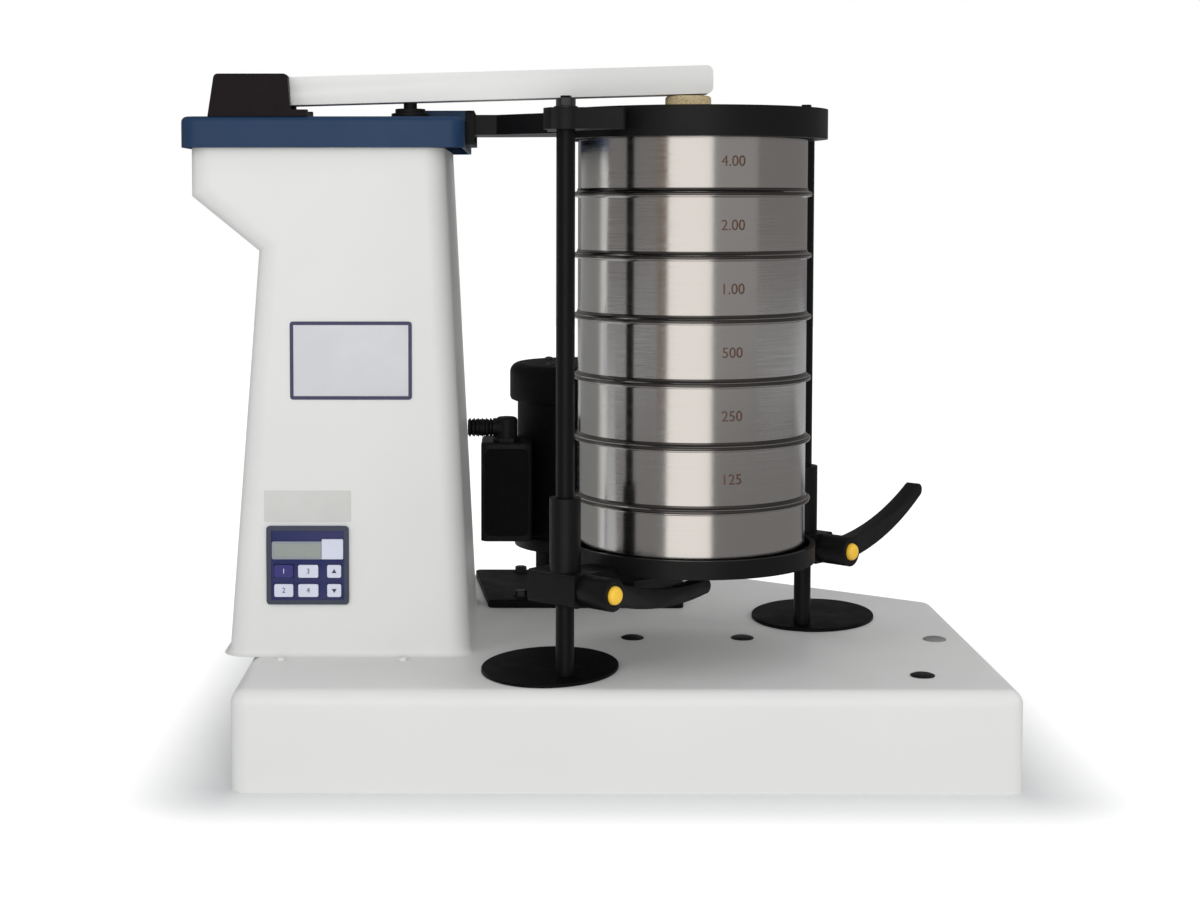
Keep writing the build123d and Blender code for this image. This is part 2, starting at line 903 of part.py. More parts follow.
with BuildPart() as post_nuts:
    with BuildSketch(Plane.XY.offset(post_top)):
        with Locations(left_post, right_post):
            Circle(washer_radius)
    extrude(amount=washer_thickness)
    with BuildSketch(Plane.XY.offset(post_top + washer_thickness)):
        with Locations(left_post, right_post):
            RegularPolygon(radius=nut_radius, side_count=6)
    extrude(amount=nut_height)
save(post_nuts.part, "post_nuts")

with BuildPart() as lower_carrier:
    for one, one_radius, other in (
        (crank_axis, crank_eye_radius, left_post),
        (left_post, carrier_boss_radius, right_post),
        (crank_axis, crank_eye_radius, right_post),
    ):
        add(webbed(carrier_level, carrier_thickness, one, one_radius, other, carrier_boss_radius))
    with BuildSketch(Plane.XY.offset(carrier_level)):
        with Locations(left_post, right_post):
            Circle(post_radius)
        with Locations(crank_axis):
            Circle(crank_pin_radius + running_gap)
    extrude(amount=carrier_thickness, mode=Mode.SUBTRACT)
save(lower_carrier.part, "lower_carrier")

disc_turn = 73
for disc_name, post_place, centre in (
    ("dust_disc_left", left_post, (left_post_x - 12, left_post_y + 38)),
    ("dust_disc_right", right_post, (right_post_x + 17, right_post_y + 48)),
):
    with BuildPart() as disc:
        with BuildSketch(Plane.XY.offset(base_height + seat_gap)):
            with Locations(Location((centre[0], centre[1], 0), (0, 0, disc_turn))):
                Ellipse(disc_length / 2, disc_width / 2)
            with Locations(post_place):
                Circle(post_radius + running_gap, mode=Mode.SUBTRACT)
        extrude(amount=disc_thickness)
        fillet(faces().sort_by(Axis.Z)[-1].edges().sort_by(SortBy.LENGTH)[-1], radius=1)
    save(disc.part, disc_name)

# Support plate: a rimmed table with two arms, a sleeve round each post and a square clamp block
table_bottom = pan_floor - table_thickness
table_radius = sieve_radius + table_margin
sleeve_bottom = pan_floor - sleeve_drop
screw_level = pan_floor - screw_drop
clamp_x = cos(radians(clamp_direction))
clamp_y = sin(radians(clamp_direction))


def clamp_plane(place, reach):
    """A plane square to a post's clamp screw, at a distance from the post's axis."""
    return Plane(
        origin=(place[0] + reach * clamp_x, place[1] + reach * clamp_y, screw_level),
        x_dir=(-clamp_y, clamp_x, 0),
        z_dir=(clamp_x, clamp_y, 0),
    )


with BuildPart() as support_plate:
    with BuildSketch(Plane.XY.offset(table_bottom)):
        with Locations(nest_axis):
            Circle(table_radius)
    extrude(amount=pan_floor + rim_height - table_bottom)
    for place in (left_post, right_post):
        web_thickness = pan_floor - sleeve_bottom - web_step
        add(webbed(sleeve_bottom, web_thickness, place, sleeve_radius + 1, nest_axis, web_end_radius))
        with BuildSketch(Plane.XY.offset(sleeve_bottom)):
            with Locations(place):
                Circle(sleeve_radius)
        extrude(amount=sleeve_height)
        with BuildSketch(clamp_plane(place, -clamp_block_back)):
            RectangleRounded(clamp_block_width, clamp_block_height, clamp_edge)
        extrude(amount=clamp_block_back + clamp_block_front)
    with BuildSketch(Plane.XY.offset(pan_floor)):
        with Locations(nest_axis):
            Circle(bead_radius + 1)
    extrude(amount=rim_height, mode=Mode.SUBTRACT)
    with BuildSketch(Plane.XY.offset(screw_level - clamp_block_height / 2)):
        with Locations(left_post, right_post):
            Circle(post_radius + running_gap)
    extrude(amount=sleeve_bottom + sleeve_height, mode=Mode.SUBTRACT)
    for place in (left_post, right_post):
        with BuildSketch(clamp_plane(place, 0)):
            Circle(clamp_stud_radius + running_gap)
        extrude(amount=clamp_block_front, mode=Mode.SUBTRACT)
save(support_plate.part, "support_plate")


# Clamp levers: a hub with a stud that bears on the post, a bowed handle and a button in the hub's face
hub_back = clamp_block_front + seat_gap
hub_front = hub_back + hub_length
button_seat = button_travel + button_depth


def clamp_lever(place, turn):
    """A clamp lever whose handle's tip lies at an angle above the level."""
    across = Vector(cos(radians(turn)), sin(radians(turn)))
    upward = Vector(-sin(radians(turn)), cos(radians(turn)))
    tip = across * (lever_reach - lever_tip_radius)
    middle = across * (lever_reach / 2) - upward * lever_bow
    root = across * (hub_radius / 2)
    root_half = hub_radius - lever_inset
    middle_half = (root_half + lever_tip_radius) / 2
    with BuildPart() as lever:
        with BuildSketch(clamp_plane(place, hub_back)):
            Circle(hub_radius)
        extrude(amount=hub_length)
        with BuildSketch(clamp_plane(place, hub_front - lever_inset)):
            with BuildLine():
                upper = ThreePointArc(
                    root + upward * root_half,
                    middle + upward * middle_half,
                    tip + upward * lever_tip_radius,
                )
                nose = ThreePointArc(
                    upper @ 1, tip + across * lever_tip_radius, tip - upward * lever_tip_radius
                )
                lower = ThreePointArc(nose @ 1, middle - upward * middle_half, root - upward * root_half)
                Line(lower @ 1, upper @ 0)
            make_face()
        extrude(amount=-lever_thickness)
        with BuildSketch(clamp_plane(place, post_radius + 2 * seat_gap)):
            Circle(clamp_stud_radius)
        extrude(amount=hub_back - post_radius - 2 * seat_gap)
        with BuildSketch(clamp_plane(place, hub_front)):
            Circle(button_radius + running_gap)
        extrude(amount=-button_seat, mode=Mode.SUBTRACT)
    return lever.part


def release_button(place):
    """The round button in the face of a lever's hub."""
    with BuildPart() as button:
        with BuildSketch(clamp_plane(place, hub_front - button_seat + button_travel + seat_gap)):
            Circle(button_radius)
        extrude(amount=button_seat - button_travel + button_rise - seat_gap)
        outward = Axis(origin=(0, 0, 0), direction=(clamp_x, clamp_y, 0))
        fillet(faces().sort_by(outward)[-1].edges(), radius=button_rise - seat_gap)
    return button.part


save(clamp_lever(left_post, left_lever_turn), "clamp_lever_left")
save(clamp_lever(right_post, right_lever_turn), "clamp_lever_right")
save(release_button(left_post), "release_button_left")
save(release_button(right_post), "release_button_right")


# Sieve nest: pan, six full height sieves, wire cloths, lid and cork
def turned(points, level):
    """A ring or dish turned about the nest's axis from a half section of (radius, height) points."""
    with BuildPart() as dish:
        with BuildSketch(Plane.XZ.offset(-nest_y)):
            with BuildLine():
                Polyline(*[(nest_x + radius, level + height) for radius, height in points], close=True)
            make_face()
        revolve(axis=Axis((nest_x, nest_y, 0), (0, 0, 1)))
    return dish.part


inner_radius = sieve_radius - sieve_sheet
skirt_outer = inner_radius - 1.1
skirt_inner = skirt_outer - sieve_sheet


def rim_points(height):
    """Outer wall and rolled bead of a sieve or the pan, up to its top edge, and back to the inner wall."""
    return [
        (sieve_radius, height - 5.5),
        (bead_radius, height - 4),
        (bead_radius, height - 1),
        (bead_radius - 1, height),
        (inner_radius, height),
    ]


pan_points = [(0, 0), (inner_radius - 1, 0), (sieve_radius, 2)]
pan_points += rim_points(pan_height)
pan_points += [(inner_radius, 3), (inner_radius - 2, sieve_sheet), (0, sieve_sheet)]
save(turned(pan_points, pan_floor), "sieve_pan")

sieve_points = [(skirt_inner, -skirt_depth), (skirt_outer, -skirt_depth)]
sieve_points += [(skirt_outer, 0), (sieve_radius, 0)]
sieve_points += rim_points(sieve_pitch)
sieve_points += [(inner_radius, sieve_sheet), (skirt_inner, sieve_sheet)]
for number in range(sieve_count):
    save(turned(sieve_points, stack_bottom + number * sieve_pitch), f"sieve_{number + 1}")

cloth_thickness = 0.6
with BuildPart() as sieve_cloths:
    for number in range(sieve_count):
        cloth_level = stack_bottom + number * sieve_pitch + sieve_sheet
        with BuildSketch(Plane.XY.offset(cloth_level)):
            with Locations(nest_axis):
                Circle(inner_radius - 0.1)
        extrude(amount=cloth_thickness)
save(sieve_cloths.part, "sieve_cloths")

lid_rise = ring_top - stack_top - 6
lid_points = [
    (skirt_inner, -skirt_depth),
    (skirt_outer, -skirt_depth),
    (skirt_outer, 0),
    (bead_radius - 1, 0),
    (bead_radius - 1, lid_top - stack_top),
    (lip_radius - 2, lid_top - stack_top),
    (lip_radius - 6, lid_rise),
    (0, lid_rise),
    (0, lid_rise - 2),
    (lip_radius - 8, lid_rise - 2),
    (skirt_inner, -2),
]
save(turned(lid_points, stack_top), "sieve_lid")

cork_bottom = stack_top + lid_rise
cork_x = nest_x - cork_offset
cork_edge = 3
cork_top = hammer_underside(cork_x - cork_radius + cork_edge - orbit) - seat_gap
with BuildPart() as cork:
    with BuildSketch(Plane.XY.offset(cork_bottom)):
        with Locations((cork_x, nest_y)):
            Circle(cork_radius)
    extrude(amount=cork_top - cork_bottom)
    fillet(edges().sort_by(Axis.Z)[-1], radius=cork_edge)
save(cork.part, "cork")

# Motor on its plate at the back of the base
plate_thickness = 8
plate_top = base_height + plate_thickness
with BuildPart() as motor_plate:
    with BuildSketch(Plane.XY.offset(base_height)):
        with BuildLine():
            Polyline(
                (motor_x - 99, motor_y - 90),
                (motor_x + 97, motor_y - 90),
                (motor_x + 110, motor_y + 79),
                (motor_x - 116, motor_y + 79),
                close=True,
            )
        make_face()
        fillet(vertices(), radius=6)
        with Locations(motor_axis):
            Circle(shaft_hole_radius, mode=Mode.SUBTRACT)
    extrude(amount=plate_thickness)
save(motor_plate.part, "motor_plate")

pedestal_thickness = 13
leg_spread = motor_radius - leg_inset
with BuildPart() as motor_pedestal:
    with BuildSketch(Plane.XY.offset(motor_bottom - pedestal_thickness)):
        with Locations(motor_axis):
            Circle(motor_radius + pedestal_rim)
            Circle(motor_shaft_radius + 2, mode=Mode.SUBTRACT)
    extrude(amount=pedestal_thickness)
    with BuildSketch(Plane.XY.offset(plate_top)):
        with Locations(motor_axis):
            with PolarLocations(leg_spread, 4, start_angle=45):
                Rectangle(leg_width, leg_width)
    extrude(amount=motor_bottom - pedestal_thickness - plate_top)
save(motor_pedestal.part, "motor_pedestal")

with BuildPart() as motor_body:
    with BuildSketch(Plane.XY.offset(motor_bottom)):
        with Locations(motor_axis):
            Circle(motor_radius)
    extrude(amount=motor_length)
    with BuildSketch(Plane.XY.offset(motor_bottom)):
        with Locations(motor_axis):
            Circle(motor_shaft_radius + running_gap)
    extrude(amount=20 + seat_gap, mode=Mode.SUBTRACT)
save(motor_body.part, "motor_body")

motor_top = motor_bottom + motor_length
with BuildPart() as motor_cap:
    with BuildSketch(Plane.XY.offset(motor_top)):
        with Locations(motor_axis):
            Circle(motor_cap_radius)
    extrude(amount=motor_cap_height)
    fillet(faces().sort_by(Axis.Z)[-1].edges(), radius=motor_cap_edge)
save(motor_cap.part, "motor_cap")

# Junction box on the motor's left side, with its conduit to the tower
box_left = -129
box_right = -77
box_front = 88
box_back = 158
box_bottom = 152
box_top = 252
box_middle_x = (box_left + box_right) / 2
conduit_radius = 8.5
conduit_y = box_front + 18
conduit_level = box_top + 14
with BuildPart() as junction_box:
    with BuildSketch(Plane.XY.offset(box_bottom)):
        with Locations((box_middle_x, (box_front + box_back) / 2)):
            RectangleRounded(box_right - box_left, box_back - box_front, 8)
        with Locations(motor_axis):
            Circle(motor_radius + seat_gap, mode=Mode.SUBTRACT)
    extrude(amount=box_top - box_bottom)
    fillet(faces().sort_by(Axis.Z)[-1].edges().sort_by(Axis.X)[0], radius=3)
save(junction_box.part, "junction_box")

elbow_radius = 11
elbow_reach = 14
with BuildPart() as conduit_elbow:
    with BuildSketch(Plane.XY.offset(box_top)):
        with Locations((box_middle_x, conduit_y)):
            Circle(elbow_radius)
    extrude(amount=conduit_level + elbow_radius - box_top)
    fillet(edges().sort_by(Axis.Z)[-1], radius=4)
    with BuildSketch(Plane.XY.offset(box_top)):
        with Locations((box_middle_x, conduit_y)):
            RegularPolygon(radius=elbow_radius + 3, side_count=6)
    extrude(amount=4)
    with BuildSketch(Plane.YZ.offset(box_middle_x - elbow_reach)):
        with Locations((conduit_y, conduit_level)):
            Circle(elbow_radius - 1.5)
    extrude(amount=elbow_reach)
save(conduit_elbow.part, "conduit_elbow")

tower_outer_right = tower_right_at(conduit_level) + tower_wall
conduit_start = tower_outer_right + 0.5
conduit_end = box_middle_x - elbow_reach
rib_count = 7
with BuildPart() as conduit:
    rib_step = (conduit_end - conduit_start) / rib_count
    conduit_points = [(conduit_start, 0)]
    for rib in range(rib_count):
        rib_left = conduit_start + rib * rib_step
        conduit_points += [
            (rib_left, conduit_radius - 1.2),
            (rib_left + 0.3 * rib_step, conduit_radius),
            (rib_left + 0.7 * rib_step, conduit_radius),
        ]
    conduit_points += [(conduit_end, conduit_radius - 1.2), (conduit_end, 0)]
    with BuildSketch(Plane(origin=(0, conduit_y, conduit_level), x_dir=(1, 0, 0), z_dir=(0, -1, 0))):
        with BuildLine():
            Polyline(*conduit_points, close=True)
        make_face()
    revolve(axis=Axis((0, conduit_y, conduit_level), (1, 0, 0)))
save(conduit.part, "conduit")
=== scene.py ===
# %% [markdown]
# This lesson dresses a tapping sieve shaker: a white tower on a wide white base, a nest of bright
# round sieves held in a black carriage, and a hammer bar that taps the cork above them. The CAD
# model gives every rigid shape in metres; Blender adds finishes, small forms and light.

# %% Load the frame
import json
import math

import bpy
import bmesh
from mathutils import Matrix, Vector


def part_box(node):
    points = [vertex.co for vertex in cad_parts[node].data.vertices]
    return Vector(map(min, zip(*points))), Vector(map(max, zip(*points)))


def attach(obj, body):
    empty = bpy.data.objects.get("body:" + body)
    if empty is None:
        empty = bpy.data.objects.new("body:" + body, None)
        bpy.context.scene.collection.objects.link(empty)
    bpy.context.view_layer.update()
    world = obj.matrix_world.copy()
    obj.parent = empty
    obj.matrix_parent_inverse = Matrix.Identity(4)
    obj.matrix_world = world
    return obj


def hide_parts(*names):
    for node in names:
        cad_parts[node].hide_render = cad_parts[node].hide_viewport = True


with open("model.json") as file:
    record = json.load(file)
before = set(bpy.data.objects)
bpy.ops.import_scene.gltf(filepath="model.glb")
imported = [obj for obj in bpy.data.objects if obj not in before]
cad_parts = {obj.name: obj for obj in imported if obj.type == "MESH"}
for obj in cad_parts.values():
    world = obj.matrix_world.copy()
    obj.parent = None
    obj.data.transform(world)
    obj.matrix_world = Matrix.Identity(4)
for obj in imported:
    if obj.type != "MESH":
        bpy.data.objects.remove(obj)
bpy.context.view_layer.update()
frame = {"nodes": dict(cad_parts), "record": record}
nodes = frame["nodes"]

# %% [markdown]
# The photograph was taken from a little left of the machine's middle, just under the height of
# the ring, with a longish lens. Most of the framing is a small lens shift, as on a view camera,
# which keeps the posts and the tower upright.

# %% Camera
camera_data = bpy.data.cameras.new("studio_camera")
camera_data.sensor_width = 36
camera_data.lens = 59.39
camera_data.shift_x = 0.0775
camera_data.shift_y = -0.1083
camera_data.clip_end = 50
camera = bpy.data.objects.new("studio_camera", camera_data)
camera.location = (-0.0895, -1.8979, 0.4944)
camera_tilt = math.radians(3.4)
camera_turn = math.radians(0.38)
camera.rotation_euler = (math.radians(90) - camera_tilt, 0, camera_turn)
bpy.context.collection.objects.link(camera)
bpy.context.scene.camera = camera
bpy.context.scene.view_settings.view_transform = "Standard"
print("camera height", round(camera.location.z, 3), "m, lens", round(camera_data.lens, 1), "mm")

# %% [markdown]
# A finish is a small node tree. Each one reads Object coordinates, which are the machine's own
# metres, so a grain keeps its real size on every piece. The helper below makes the common start:
# a shader, a coordinate source and a way to add noise and bump.


# %% Finish helpers
def new_finish(name):
    """An empty node material and its main shader."""
    finish = bpy.data.materials.new(name)
    finish.use_nodes = True
    shader = finish.node_tree.nodes["Principled BSDF"]
    return finish, finish.node_tree, shader


def noise(tree, scale, detail=2.0, stretch=(1, 1, 1)):
    """Noise in Object coordinates, in grains per metre."""
    place = tree.nodes.new("ShaderNodeTexCoord")
    mapping = tree.nodes.new("ShaderNodeMapping")
    mapping.inputs["Scale"].default_value = stretch
    grain = tree.nodes.new("ShaderNodeTexNoise")
    grain.inputs["Scale"].default_value = scale
    grain.inputs["Detail"].default_value = detail
    tree.links.new(place.outputs["Object"], mapping.inputs["Vector"])
    tree.links.new(mapping.outputs["Vector"], grain.inputs["Vector"])
    return grain


def spread(tree, source, low, high, start=0.35, end=0.65):
    """A colour or grey that runs from low to high as the source does."""
    ramp = tree.nodes.new("ShaderNodeValToRGB")
    ramp.color_ramp.elements[0].position = start
    ramp.color_ramp.elements[1].position = end
    ramp.color_ramp.elements[0].color = (*low, 1)
    ramp.color_ramp.elements[1].color = (*high, 1)
    tree.links.new(source, ramp.inputs["Fac"])
    return ramp.outputs["Color"]


def grey(value):
    return (value, value, value)


def bump(tree, shader, source, height, distance=0.001):
    """Bump on the shader from a grey source."""
    node = tree.nodes.new("ShaderNodeBump")
    node.inputs["Strength"].default_value = height
    node.inputs["Distance"].default_value = distance
    tree.links.new(source, node.inputs["Height"])
    tree.links.new(node.outputs["Normal"], shader.inputs["Normal"])


helpers = (new_finish, noise, spread, grey, bump)
print("finish helpers:", ", ".join(helper.__name__ for helper in helpers))

# %% [markdown]
# Powder coat is a thick baked paint: smooth, a little glossy, with a fine orange peel. It could
# be a plain shader, but paint is never quite even. So one broad noise shifts the colour by a
# hair, a finer one shifts the gloss, and a very fine one gives the peel. The black pieces are the
# same paint in a duller mix.


# %% Painted finishes
def powder_coat(name, colour, roughness, peel, mottle=0.03, shine=0.3):
    finish, tree, shader = new_finish(name)
    broad = noise(tree, scale=6, detail=3)
    low = [c * (1 - mottle) for c in colour]
    high = [min(1, c * (1 + mottle)) for c in colour]
    tree.links.new(spread(tree, broad.outputs["Fac"], low, high), shader.inputs["Base Color"])
    gloss = noise(tree, scale=40, detail=4)
    swing = 0.05
    rough = spread(tree, gloss.outputs["Fac"], grey(roughness - swing), grey(roughness + swing))
    tree.links.new(rough, shader.inputs["Roughness"])
    orange_peel = noise(tree, scale=700, detail=1)
    bump(tree, shader, orange_peel.outputs["Fac"], peel, 0.0004)
    shader.inputs["Specular IOR Level"].default_value = shine
    return finish


white_coat = powder_coat("white_powder_coat", (0.80, 0.80, 0.775), 0.42, peel=0.10, mottle=0.012)
blue_coat = powder_coat("blue_powder_coat", (0.014, 0.041, 0.100), 0.44, peel=0.15, mottle=0.07)
black_coat = powder_coat("black_paint", (0.006, 0.006, 0.0065), 0.42, peel=0.25, shine=0.24)
motor_coat = powder_coat("black_motor_paint", (0.003, 0.003, 0.0035), 0.55, peel=0.5, shine=0.12)
post_coat = powder_coat("black_post_finish", (0.005, 0.005, 0.0055), 0.36, peel=0.08, shine=0.18)
warm_black = powder_coat("warm_black_paint", (0.009, 0.006, 0.007), 0.45, peel=0.25, shine=0.15)
paints = (white_coat, blue_coat, black_coat, motor_coat, post_coat, warm_black)
print("painted finishes:", [paint.name for paint in paints])


# %% [markdown]
# The sieves are spun and polished stainless steel. An anisotropic shader could give the turned
# look, but noise stretched flat along Z also shows the fine rings that polishing leaves round the
# wall. The steel mostly shows what stands round it, so its picture comes from the cards at the
# end.


# %% Metal finishes
def turned_steel(name, colour, roughness, ring_depth):
    finish, tree, shader = new_finish(name)
    shader.inputs["Metallic"].default_value = 1.0
    shader.inputs["Base Color"].default_value = (*colour, 1)
    rings = noise(tree, scale=90, detail=3, stretch=(0.15, 0.15, 30))
    cloudy = spread(tree, rings.outputs["Fac"], grey(roughness - 0.04), grey(roughness + 0.07))
    tree.links.new(cloudy, shader.inputs["Roughness"])
    bump(tree, shader, rings.outputs["Fac"], ring_depth, 0.0002)
    return finish


sieve_steel = turned_steel("polished_sieve_steel", (0.72, 0.705, 0.69), 0.13, 0.12)
ground_steel = turned_steel("ground_steel", (0.45, 0.45, 0.47), 0.3, 0.3)
nut_steel = turned_steel("blackened_steel", (0.10, 0.10, 0.105), 0.38, 0.2)
dark_iron = turned_steel("machined_iron", (0.2, 0.2, 0.2), 0.45, 0.3)
metals = (sieve_steel, ground_steel, nut_steel, dark_iron)
print("metal finishes:", [metal.name for metal in metals])


# %% [markdown]
# The rest is moulded plastic, rubber, printed film and one cork. Plastic and film differ from
# each other in colour and gloss alone, so one recipe makes them all. Cork is light tan with
# darker flecks and small pits, which a cell texture gives better than noise does.


# %% Plastic, film and cork
def moulded(name, colour, roughness, texture=0.1, shine=0.3):
    finish, tree, shader = new_finish(name)
    shade = noise(tree, scale=25, detail=3)
    low = [c * 0.95 for c in colour]
    tree.links.new(spread(tree, shade.outputs["Fac"], low, colour), shader.inputs["Base Color"])
    shader.inputs["Roughness"].default_value = roughness
    shader.inputs["Specular IOR Level"].default_value = shine
    grain = noise(tree, scale=1500, detail=1)
    bump(tree, shader, grain.outputs["Fac"], texture, 0.0003)
    return finish


def cork_finish():
    finish, tree, shader = new_finish("natural_cork")
    place = tree.nodes.new("ShaderNodeTexCoord")
    cells = tree.nodes.new("ShaderNodeTexVoronoi")
    cells.inputs["Scale"].default_value = 420
    tree.links.new(place.outputs["Object"], cells.inputs["Vector"])
    dark_fleck = (0.30, 0.19, 0.09)
    light_cork = (0.58, 0.47, 0.27)
    flecks = spread(tree, cells.outputs["Distance"], dark_fleck, light_cork, 0.05, 0.4)
    tree.links.new(flecks, shader.inputs["Base Color"])
    shader.inputs["Roughness"].default_value = 0.8
    bump(tree, shader, cells.outputs["Distance"], 0.5, 0.0005)
    return finish


black_plastic = moulded("black_plastic", (0.006, 0.006, 0.0065), 0.45, 0.2)
wiper_rubber = moulded("black_rubber", (0.008, 0.008, 0.009), 0.6, 0.3)
grey_plastic = moulded("grey_plastic", (0.25, 0.25, 0.25), 0.5)
yellow_plastic = moulded("yellow_button", (1.0, 0.61, 0.055), 0.3, 0.05, 0.5)
label_film = moulded("white_label_film", (0.70, 0.705, 0.725), 0.35, 0.03)
label_border = moulded("slate_label_border", (0.055, 0.055, 0.115), 0.35, 0.03)
patch_film = moulded("pale_patch_film", (0.68, 0.68, 0.65), 0.45, 0.05)
navy_film = moulded("navy_keypad_film", (0.025, 0.030, 0.118), 0.35, 0.05)
navy_rim = moulded("slate_keypad_rim", (0.055, 0.065, 0.095), 0.4, 0.05)
lcd_film = moulded("display_glass", (0.33, 0.36, 0.33), 0.2, 0.02)
mark_ink = moulded("key_mark_ink", (0.05, 0.05, 0.12), 0.5, 0.02)
key_film = moulded("white_key_film", (0.72, 0.74, 0.86), 0.4, 0.03)
key_dark = moulded("dark_key_film", (0.045, 0.042, 0.2), 0.4, 0.03)
display_film = moulded("display_film", (0.30, 0.33, 0.36), 0.25, 0.02)
natural_cork = cork_finish()
print("finishes made so far:", len(bpy.data.materials))

# %% [markdown]
# The CAD solids arrive as loose triangles, which shade flat. A copy with its doubles merged can
# be shaded smooth, with the real edges kept sharp by their angle. Flat neighbours are dissolved
# into one face, so that a later bevel finds clean edges. A wall made of many small steps stays
# smooth only with a wider angle.


# %% Smooth a solid
sharp_from = 32
stepped_sharp_from = 60
flat_within = 0.4
same_point = 0.000002


def smooth_by_angle(mesh, angle=sharp_from):
    """Smooth shading with sharp edges where the surface turns by more than the angle."""
    work = bmesh.new()
    work.from_mesh(mesh)
    bmesh.ops.remove_doubles(work, verts=work.verts, dist=same_point)
    bmesh.ops.dissolve_degenerate(work, edges=work.edges, dist=same_point / 2)
    flat_limit = math.radians(flat_within)
    bmesh.ops.dissolve_limit(work, angle_limit=flat_limit, verts=work.verts, edges=work.edges)
    for face in work.faces:
        face.smooth = True
    for edge in work.edges:
        turn = edge.calc_face_angle(0) if len(edge.link_faces) == 2 else math.pi
        edge.smooth = turn < math.radians(angle)
    work.to_mesh(mesh)
    work.free()


print("edges stay sharp from", sharp_from, "degrees")

# %% [markdown]
# Painted castings and moulded caps have no knife edges. A Bevel modifier with an angle limit
# rounds the sharp edges alone, and its result becomes the piece's own mesh, because nothing may
# stay live on a piece that rides.


# %% Ease the edges
bevel_from = 40


def settled(piece):
    """Turns a piece's modifiers into its own mesh."""
    shapes = bpy.context.evaluated_depsgraph_get()
    mesh = bpy.data.meshes.new_from_object(piece.evaluated_get(shapes))
    piece.modifiers.clear()
    piece.data = mesh


def ease_edges(piece, width):
    """A small round on every sharp edge, as paint and tumbling leave."""
    round_edges = piece.modifiers.new("round_edges", "BEVEL")
    round_edges.width = width
    round_edges.segments = 2
    round_edges.limit_method = "ANGLE"
    round_edges.angle_limit = math.radians(bevel_from)
    settled(piece)


print("edges are eased where the surface turns by more than", bevel_from, "degrees")

# %% [markdown]
# Each copy stands for its CAD node and rides on the same body, so the machine moves as the record
# says. The record also names the material slot of each node.


# %% Dress a node
bodies = frame["record"]["behaviour"]["bodies"]
body_of_node = {node: body for body, members in bodies.items() for node in members}
slot_of_node = {entry["node"]: entry["material_slot"] for entry in frame["record"]["subparts"]}


def finish_piece(piece, finish, body):
    """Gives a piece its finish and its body."""
    piece.data.materials.clear()
    piece.data.materials.append(finish)
    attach(piece, body)
    return piece


def dress(node, finish, edge_round=0, angle=sharp_from):
    """A smooth copy of a CAD node that stands for it."""
    source = nodes[node]
    mesh = source.data.copy()
    smooth_by_angle(mesh, angle)
    piece = bpy.data.objects.new("dressed_" + node, mesh)
    bpy.context.collection.objects.link(piece)
    if edge_round:
        ease_edges(piece, edge_round)
        smooth_by_angle(piece.data, angle)
    finish_piece(piece, finish, body_of_node[node])
    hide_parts(node)
    return piece


# %% [markdown]
# Most nodes take the finish of their slot. A few black ones are warmer or duller than their
# neighbours in the photograph, and get their own. The round of each edge is in metres, from a
# third of a millimetre on the films to four on the motor's pressed cap.

# %% Finishes and edges of the nodes
finish_of_slot = {
    "white_coat": white_coat,
    "blue_coat": blue_coat,
    "black_coat": black_coat,
    "motor_black": motor_coat,
    "sieve_steel": sieve_steel,
    "wire_cloth": ground_steel,
    "shaft_steel": ground_steel,
    "nut_steel": nut_steel,
    "bearing_iron": dark_iron,
    "belt_rubber": wiper_rubber,
    "wiper_rubber": wiper_rubber,
    "cork": natural_cork,
    "black_plastic": black_plastic,
    "grey_plastic": grey_plastic,
    "button_yellow": yellow_plastic,
    "label_white": label_film,
    "patch_white": patch_film,
    "navy_film": navy_film,
    "display_grey": display_film,
    "key_white": key_film,
    "key_navy": key_dark,
}
edge_round_of_node = {
    "hammer_bar": 0.0012,
    "junction_box": 0.0035,
    "motor_pedestal": 0.001,
    "motor_plate": 0.001,
    "motor_cap": 0.004,
    "clamp_lever_left": 0.003,
    "clamp_lever_right": 0.003,
    "arm_wiper": 0.0006,
    "post_nuts": 0.0005,
    "nameplate": 0.0003,
    "keypad_panel": 0.0004,
    "rod_guide": 0.0006,
}
finish_of_node = {
    "post_left": post_coat,
    "post_right": post_coat,
    "pivot_housing": warm_black,
    "motor_plate": motor_coat,
    "dust_disc_left": motor_coat,
    "dust_disc_right": motor_coat,
}
hidden_inside = (
    "shaft_bearings", "drive_belt", "main_gear", "main_pulley", "cam_shaft", "sieve_cloths"
)
for node, slot in slot_of_node.items():
    if node in hidden_inside:
        nodes[node].data.materials.clear()
        nodes[node].data.materials.append(finish_of_slot[slot])
    else:
        finish = finish_of_node.get(node, finish_of_slot[slot])
        dress(node, finish, edge_round_of_node.get(node, 0))
print("dressed nodes:", len(slot_of_node) - len(hidden_inside))

# %% [markdown]
# Small forms come next. Many of them are a few loops of points joined by a skin. A stack of loops
# with a cap at both ends is a closed plate, and rows that close on themselves both ways make a
# frame or a ring. Written once, these two skins serve the plates, the marks, the screws and the
# rims.


# %% Skins over loops of points
def rounded_outline(left, right, bottom, top, radius, steps=6):
    """Corner arcs of a rounded rectangle, anticlockwise as seen from the front."""
    corners = (
        (right - radius, bottom + radius, -90),
        (right - radius, top - radius, 0),
        (left + radius, top - radius, 90),
        (left + radius, bottom + radius, 180),
    )
    points = []
    for x, z, start in corners:
        for step in range(steps + 1):
            turn = math.radians(start + 90 * step / steps)
            points.append((x + radius * math.cos(turn), z + radius * math.sin(turn)))
    return points


